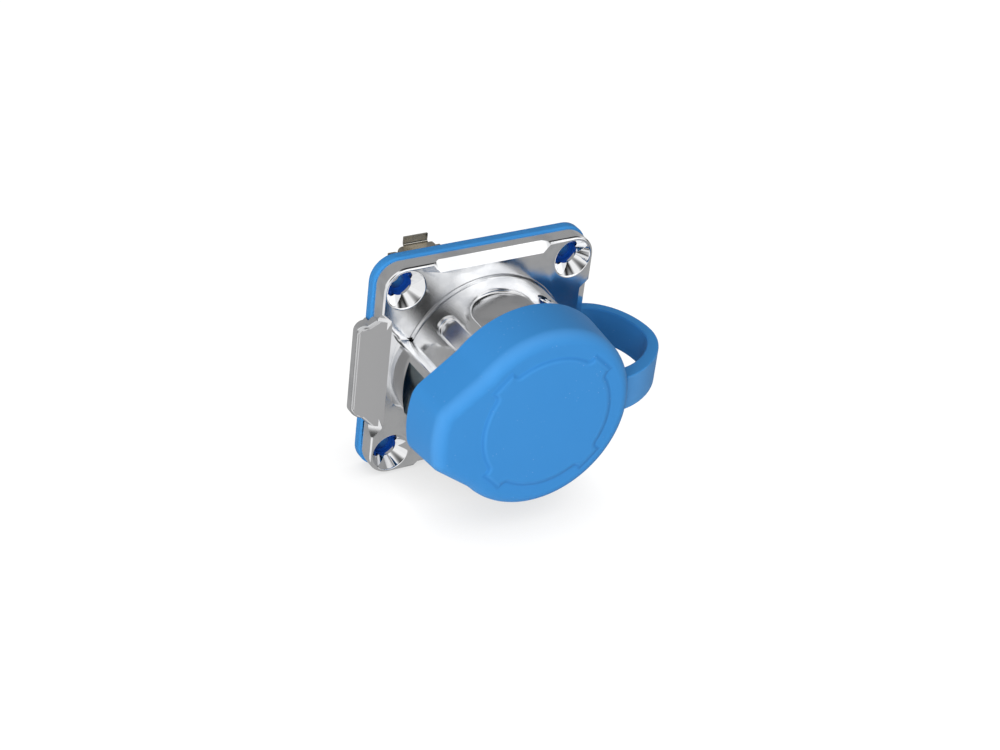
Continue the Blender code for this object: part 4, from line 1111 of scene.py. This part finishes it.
# Blue moulding; its deep and pale colours are painted shade and painted highlight, laid on by the
# point marks.
SILICONE = finished_material(
    "blue_elastomer", MOULDING,
    {"Base": (0.044, 0.243, 0.58, 1), "Shade": (0.04, 0.233, 0.565, 1),
     "Deep": (0.002, 0.05, 0.3, 1), "Pale": (0.16, 0.42, 0.8, 1),
     "Dust": (0.35, 0.55, 0.8, 1), "Dust Share": 0.35, "Shade Scale": 110.0,
     "Grain Scale": 7000.0, "Smooth": 0.44, "Rough": 0.56},
    (0.12, 0.03 * MM), {"Specular IOR Level": 0.12, "Sheen Weight": 0.02, "Sheen Roughness": 0.4},
    {"Painted Light And Shade": "painted_light_and_shade"})
BLACK_RUBBER = finished_material(
    "black_elastomer", MOULDING,
    {"Base": grey(0.012), "Shade": grey(0.018), "Dust": grey(0.2), "Dust Share": 0.3,
     "Shade Scale": 200.0, "Grain Scale": 7000.0, "Smooth": 0.4, "Rough": 0.55},
    (0.15, 0.02 * MM), {})
DARK_PLASTIC = finished_material(
    "dark_plastic", MOULDING,
    {"Base": (0.06, 0.078, 0.085, 1), "Shade": (0.045, 0.06, 0.066, 1), "Dust": grey(0.3),
     "Dust Share": 0.35, "Shade Scale": 180.0, "Grain Scale": 5200.0, "Smooth": 0.34,
     "Rough": 0.48},
    (0.25, 0.03 * MM), {})
GREY_PLASTIC = finished_material(
    "grey_plastic", MOULDING,
    {"Base": (0.3, 0.36, 0.375, 1), "Shade": (0.26, 0.32, 0.335, 1), "Dust": grey(0.5),
     "Dust Share": 0.35, "Shade Scale": 180.0, "Grain Scale": 5200.0, "Smooth": 0.3,
     "Rough": 0.45},
    (0.25, 0.03 * MM), {})
WHITE_PLASTIC = finished_material(
    "white_plastic", MOULDING,
    {"Base": (0.68, 0.68, 0.65, 1), "Shade": (0.62, 0.62, 0.58, 1), "Dust": grey(0.4),
     "Dust Share": 0.3, "Shade Scale": 200.0, "Grain Scale": 5200.0, "Smooth": 0.32,
     "Rough": 0.45},
    (0.15, 0.02 * MM), {})
LAMINATE = finished_material(
    "board_laminate", MOULDING,
    {"Base": (0.02, 0.13, 0.055, 1), "Shade": (0.03, 0.17, 0.07, 1), "Dust": grey(0.5),
     "Dust Share": 0.2, "Shade Scale": 900.0, "Grain Scale": 3800.0, "Smooth": 0.3,
     "Rough": 0.42},
    (0.2, 0.02 * MM), {"Coat Weight": 0.3, "Coat Roughness": 0.2})


def dress_nodes(material, *names):
    for name in names:
        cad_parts[name].material_slots[0].material = material


def card_group():
    """Soft-edged round patch of the studio seen in one direction."""
    group, source, result = new_group(
        "studio_card",
        [("Direction", "NodeSocketVector", None), ("Centre", "NodeSocketVector", (0, 0, 1)),
         ("Edge", "NodeSocketFloat", 0.8), ("Full", "NodeSocketFloat", 0.9)],
        [("Mask", "NodeSocketFloat")])
    links = group.links
    aim = add_node(group, "ShaderNodeVectorMath", (-640, -80), operation="NORMALIZE")
    links.new(source.outputs["Centre"], aim.inputs[0])
    facing = add_node(group, "ShaderNodeVectorMath", (-420, 0), operation="DOT_PRODUCT")
    links.new(source.outputs["Direction"], facing.inputs[0])
    links.new(aim.outputs["Vector"], facing.inputs[1])
    mask = add_node(group, "ShaderNodeMapRange", (-160, 0), interpolation_type="SMOOTHSTEP")
    links.new(facing.outputs["Value"], mask.inputs["Value"])
    links.new(source.outputs["Edge"], mask.inputs["From Min"])
    links.new(source.outputs["Full"], mask.inputs["From Max"])
    links.new(mask.outputs["Result"], result.inputs["Mask"])
    return group


def spread(degrees):
    """Cosine of a card's angular radius."""
    return math.cos(degrees * DEGREE)


# Patches of the studio that the metal mirrors: direction, edge and full size, brightness
STUDIO_CARDS = (
    ((0.0, 1.0, 0.25), 62, 40, 0.33),
    ((0.42, 0.06, 0.9), 40, 28, 0.03),
    ((-0.52, -0.71, 0.47), 24, 4, 0.04),
    ((0.465, -0.72, 0.51), 30, 18, 1.3),
    ((0.99, 0.0, -0.08), 28, 12, 0.06),
)
MIRRORED_FLOOR = 0.36
MIRRORED_SHEET = 0.9
SHEET_EDGE_X = -17.0 * MM
SHEET_EDGE_Y = -4.0 * MM
FLOOR_GLOW_SHARE = 0.85
FLOOR_GLOW = 1.13
SHADOW_REACH = 9 * MM
SHADOW_DEPTH = 0.38


def studio_world():
    """White to the camera, evenly soft to matt surfaces, and with cards for the metal."""
    world = bpy.data.worlds.new("studio")
    bpy.context.scene.world = world
    world.use_nodes = True
    tree = world.node_tree
    links = tree.links
    card = card_group()
    place = add_node(tree, "ShaderNodeTexCoord", (-1500, 0))
    direction = add_node(tree, "ShaderNodeVectorMath", (-1300, 0), operation="NORMALIZE")
    links.new(place.outputs["Generated"], direction.inputs[0])
    level = None
    for number, (centre, edge, full, brightness) in enumerate(STUDIO_CARDS):
        x = -1000 + 220 * number
        patch = add_node(tree, "ShaderNodeGroup", (x, -300), node_tree=card,
                         values={"Centre": centre, "Edge": spread(edge), "Full": spread(full)})
        links.new(direction.outputs["Vector"], patch.inputs["Direction"])
        mix = add_node(tree, "ShaderNodeMix", (x, 0), data_type="FLOAT",
                       values={"A": MIRRORED_LEVEL, "B": brightness})
        links.new(patch.outputs["Mask"], mix.inputs["Factor"])
        if level:
            links.new(level, mix.inputs["A"])
        level = mix.outputs["Result"]
    rays = add_node(tree, "ShaderNodeLightPath", (200, 400))
    soft = add_node(tree, "ShaderNodeMix", (400, 0), data_type="FLOAT",
                    values={"A": SOFT_LIGHT})
    links.new(rays.outputs["Is Glossy Ray"], soft.inputs["Factor"])
    links.new(level, soft.inputs["B"])
    clear = add_node(tree, "ShaderNodeMath", (400, 300), operation="MAXIMUM")
    links.new(rays.outputs["Is Camera Ray"], clear.inputs[0])
    links.new(rays.outputs["Is Transmission Ray"], clear.inputs[1])
    strength = add_node(tree, "ShaderNodeMix", (600, 0), data_type="FLOAT", values={"B": 1.0})
    links.new(clear.outputs["Value"], strength.inputs["Factor"])
    links.new(soft.outputs["Result"], strength.inputs["A"])
    background = tree.nodes["Background"]
    background.inputs["Color"].default_value = (1, 1, 1, 1)
    links.new(strength.outputs["Result"], background.inputs["Strength"])


def floor_material():
    """Pale floor that shows white and keeps a faint shadow."""
    material = bpy.data.materials.new("pale_floor")
    material.use_nodes = True
    tree = material.node_tree
    links = tree.links
    tree.nodes.remove(tree.nodes["Principled BSDF"])
    matt = add_node(tree, "ShaderNodeBsdfDiffuse", (-200, 100), values={"Color": grey(0.86)})
    glow = add_node(tree, "ShaderNodeEmission", (-200, -100), values={"Color": grey(1.0)})
    rays = add_node(tree, "ShaderNodeLightPath", (-900, 200))
    place = add_node(tree, "ShaderNodeTexCoord", (-1300, -300))
    split = add_node(tree, "ShaderNodeSeparateXYZ", (-1100, -300))
    links.new(place.outputs["Object"], split.inputs["Vector"])
    beside = add_node(tree, "ShaderNodeMath", (-900, -240), operation="LESS_THAN")
    links.new(split.outputs["X"], beside.inputs[0])
    beside.inputs[1].default_value = SHEET_EDGE_X
    before = add_node(tree, "ShaderNodeMath", (-900, -420), operation="LESS_THAN")
    links.new(split.outputs["Y"], before.inputs[0])
    before.inputs[1].default_value = SHEET_EDGE_Y
    sheet = add_node(tree, "ShaderNodeMath", (-720, -300), operation="MULTIPLY")
    links.new(beside.outputs["Value"], sheet.inputs[0])
    links.new(before.outputs["Value"], sheet.inputs[1])
    mirrored = add_node(tree, "ShaderNodeMix", (-600, -260), data_type="FLOAT",
                        values={"A": MIRRORED_FLOOR, "B": MIRRORED_SHEET})
    links.new(sheet.outputs["Value"], mirrored.inputs["Factor"])
    nearby = add_node(tree, "ShaderNodeAmbientOcclusion", (-900, 0), samples=16,
                      values={"Distance": SHADOW_REACH})
    shown = add_node(tree, "ShaderNodeMix", (-600, 0), data_type="FLOAT",
                     values={"A": FLOOR_GLOW * (1 - SHADOW_DEPTH), "B": FLOOR_GLOW})
    links.new(nearby.outputs["AO"], shown.inputs["Factor"])
    level = add_node(tree, "ShaderNodeMix", (-400, -100), data_type="FLOAT")
    links.new(shown.outputs["Result"], level.inputs["A"])
    links.new(rays.outputs["Is Glossy Ray"], level.inputs["Factor"])
    links.new(mirrored.outputs["Result"], level.inputs["B"])
    links.new(level.outputs["Result"], glow.inputs["Strength"])
    seen = add_node(tree, "ShaderNodeMath", (-700, 200), operation="MULTIPLY")
    seen.inputs[1].default_value = FLOOR_GLOW_SHARE
    links.new(rays.outputs["Is Camera Ray"], seen.inputs[0])
    clear = add_node(tree, "ShaderNodeMath", (-500, 200), operation="MAXIMUM")
    links.new(seen.outputs["Value"], clear.inputs[0])
    links.new(rays.outputs["Is Transmission Ray"], clear.inputs[1])
    share = add_node(tree, "ShaderNodeMath", (-300, 260), operation="MAXIMUM")
    links.new(clear.outputs["Value"], share.inputs[0])
    links.new(rays.outputs["Is Glossy Ray"], share.inputs[1])
    mix = add_node(tree, "ShaderNodeMixShader", (60, 0))
    links.new(share.outputs["Value"], mix.inputs["Fac"])
    links.new(matt.outputs["BSDF"], mix.inputs[1])
    links.new(glow.outputs["Emission"], mix.inputs[2])
    links.new(mix.outputs["Shader"], tree.nodes["Material Output"].inputs["Surface"])
    return material


def studio_floor():
    bm = bmesh.new()
    bmesh.ops.create_grid(bm, x_segments=1, y_segments=1, size=3.0)
    bmesh.ops.translate(bm, verts=bm.verts, vec=(0, 0, GASKET_LOW.z))
    make_object("floor", bm, floor_material())


def soft_box(name, place, size, power):
    """Square area light aimed at the middle of the flange."""
    data = bpy.data.lights.new(name, "AREA")
    data.shape = "SQUARE"
    data.size = size
    data.energy = power
    lamp = bpy.data.objects.new(name, data)
    bpy.context.scene.collection.objects.link(lamp)
    lamp.location = place
    aim = Vector((0, FLANGE_FRONT_Y, 0)) - lamp.location
    lamp.rotation_euler = aim.to_track_quat("-Z", "Y").to_euler()
    lamp.visible_camera = False
    lamp.visible_glossy = False
    return lamp


MIRRORED_LEVEL = 0.95
SOFT_LIGHT = 0.3

add_camera()
bpy.context.scene.view_settings.view_transform = "Standard"
studio_floor()
studio_world()
soft_box("front_left_soft_box", (-0.42, -0.42, 0.22), 0.35, 3.5)
soft_box("high_soft_box", (0.1, -0.25, 0.6), 0.4, 1.2)

housing_casting(CHROME)
panel_gasket(SILICONE)
dust_cap(SILICONE)
cap_strap(SILICONE)
port_shell("front", 1, NICKEL)
port_shell("rear", -1, NICKEL)
retaining_ring(BRASS)
dress_nodes(GREY_PLASTIC, "front_carrier")
dress_nodes(DARK_PLASTIC, "rear_carrier")
dress_nodes(WHITE_PLASTIC, "front_port_tongue", "rear_port_tongue")
dress_nodes(BLACK_RUBBER, "insert_seal")
dress_nodes(LAMINATE, "link_board")
for end in ("front", "rear"):
    dress_nodes(GOLD, *(f"{end}_contact_{number}" for number in range(1, 5)))
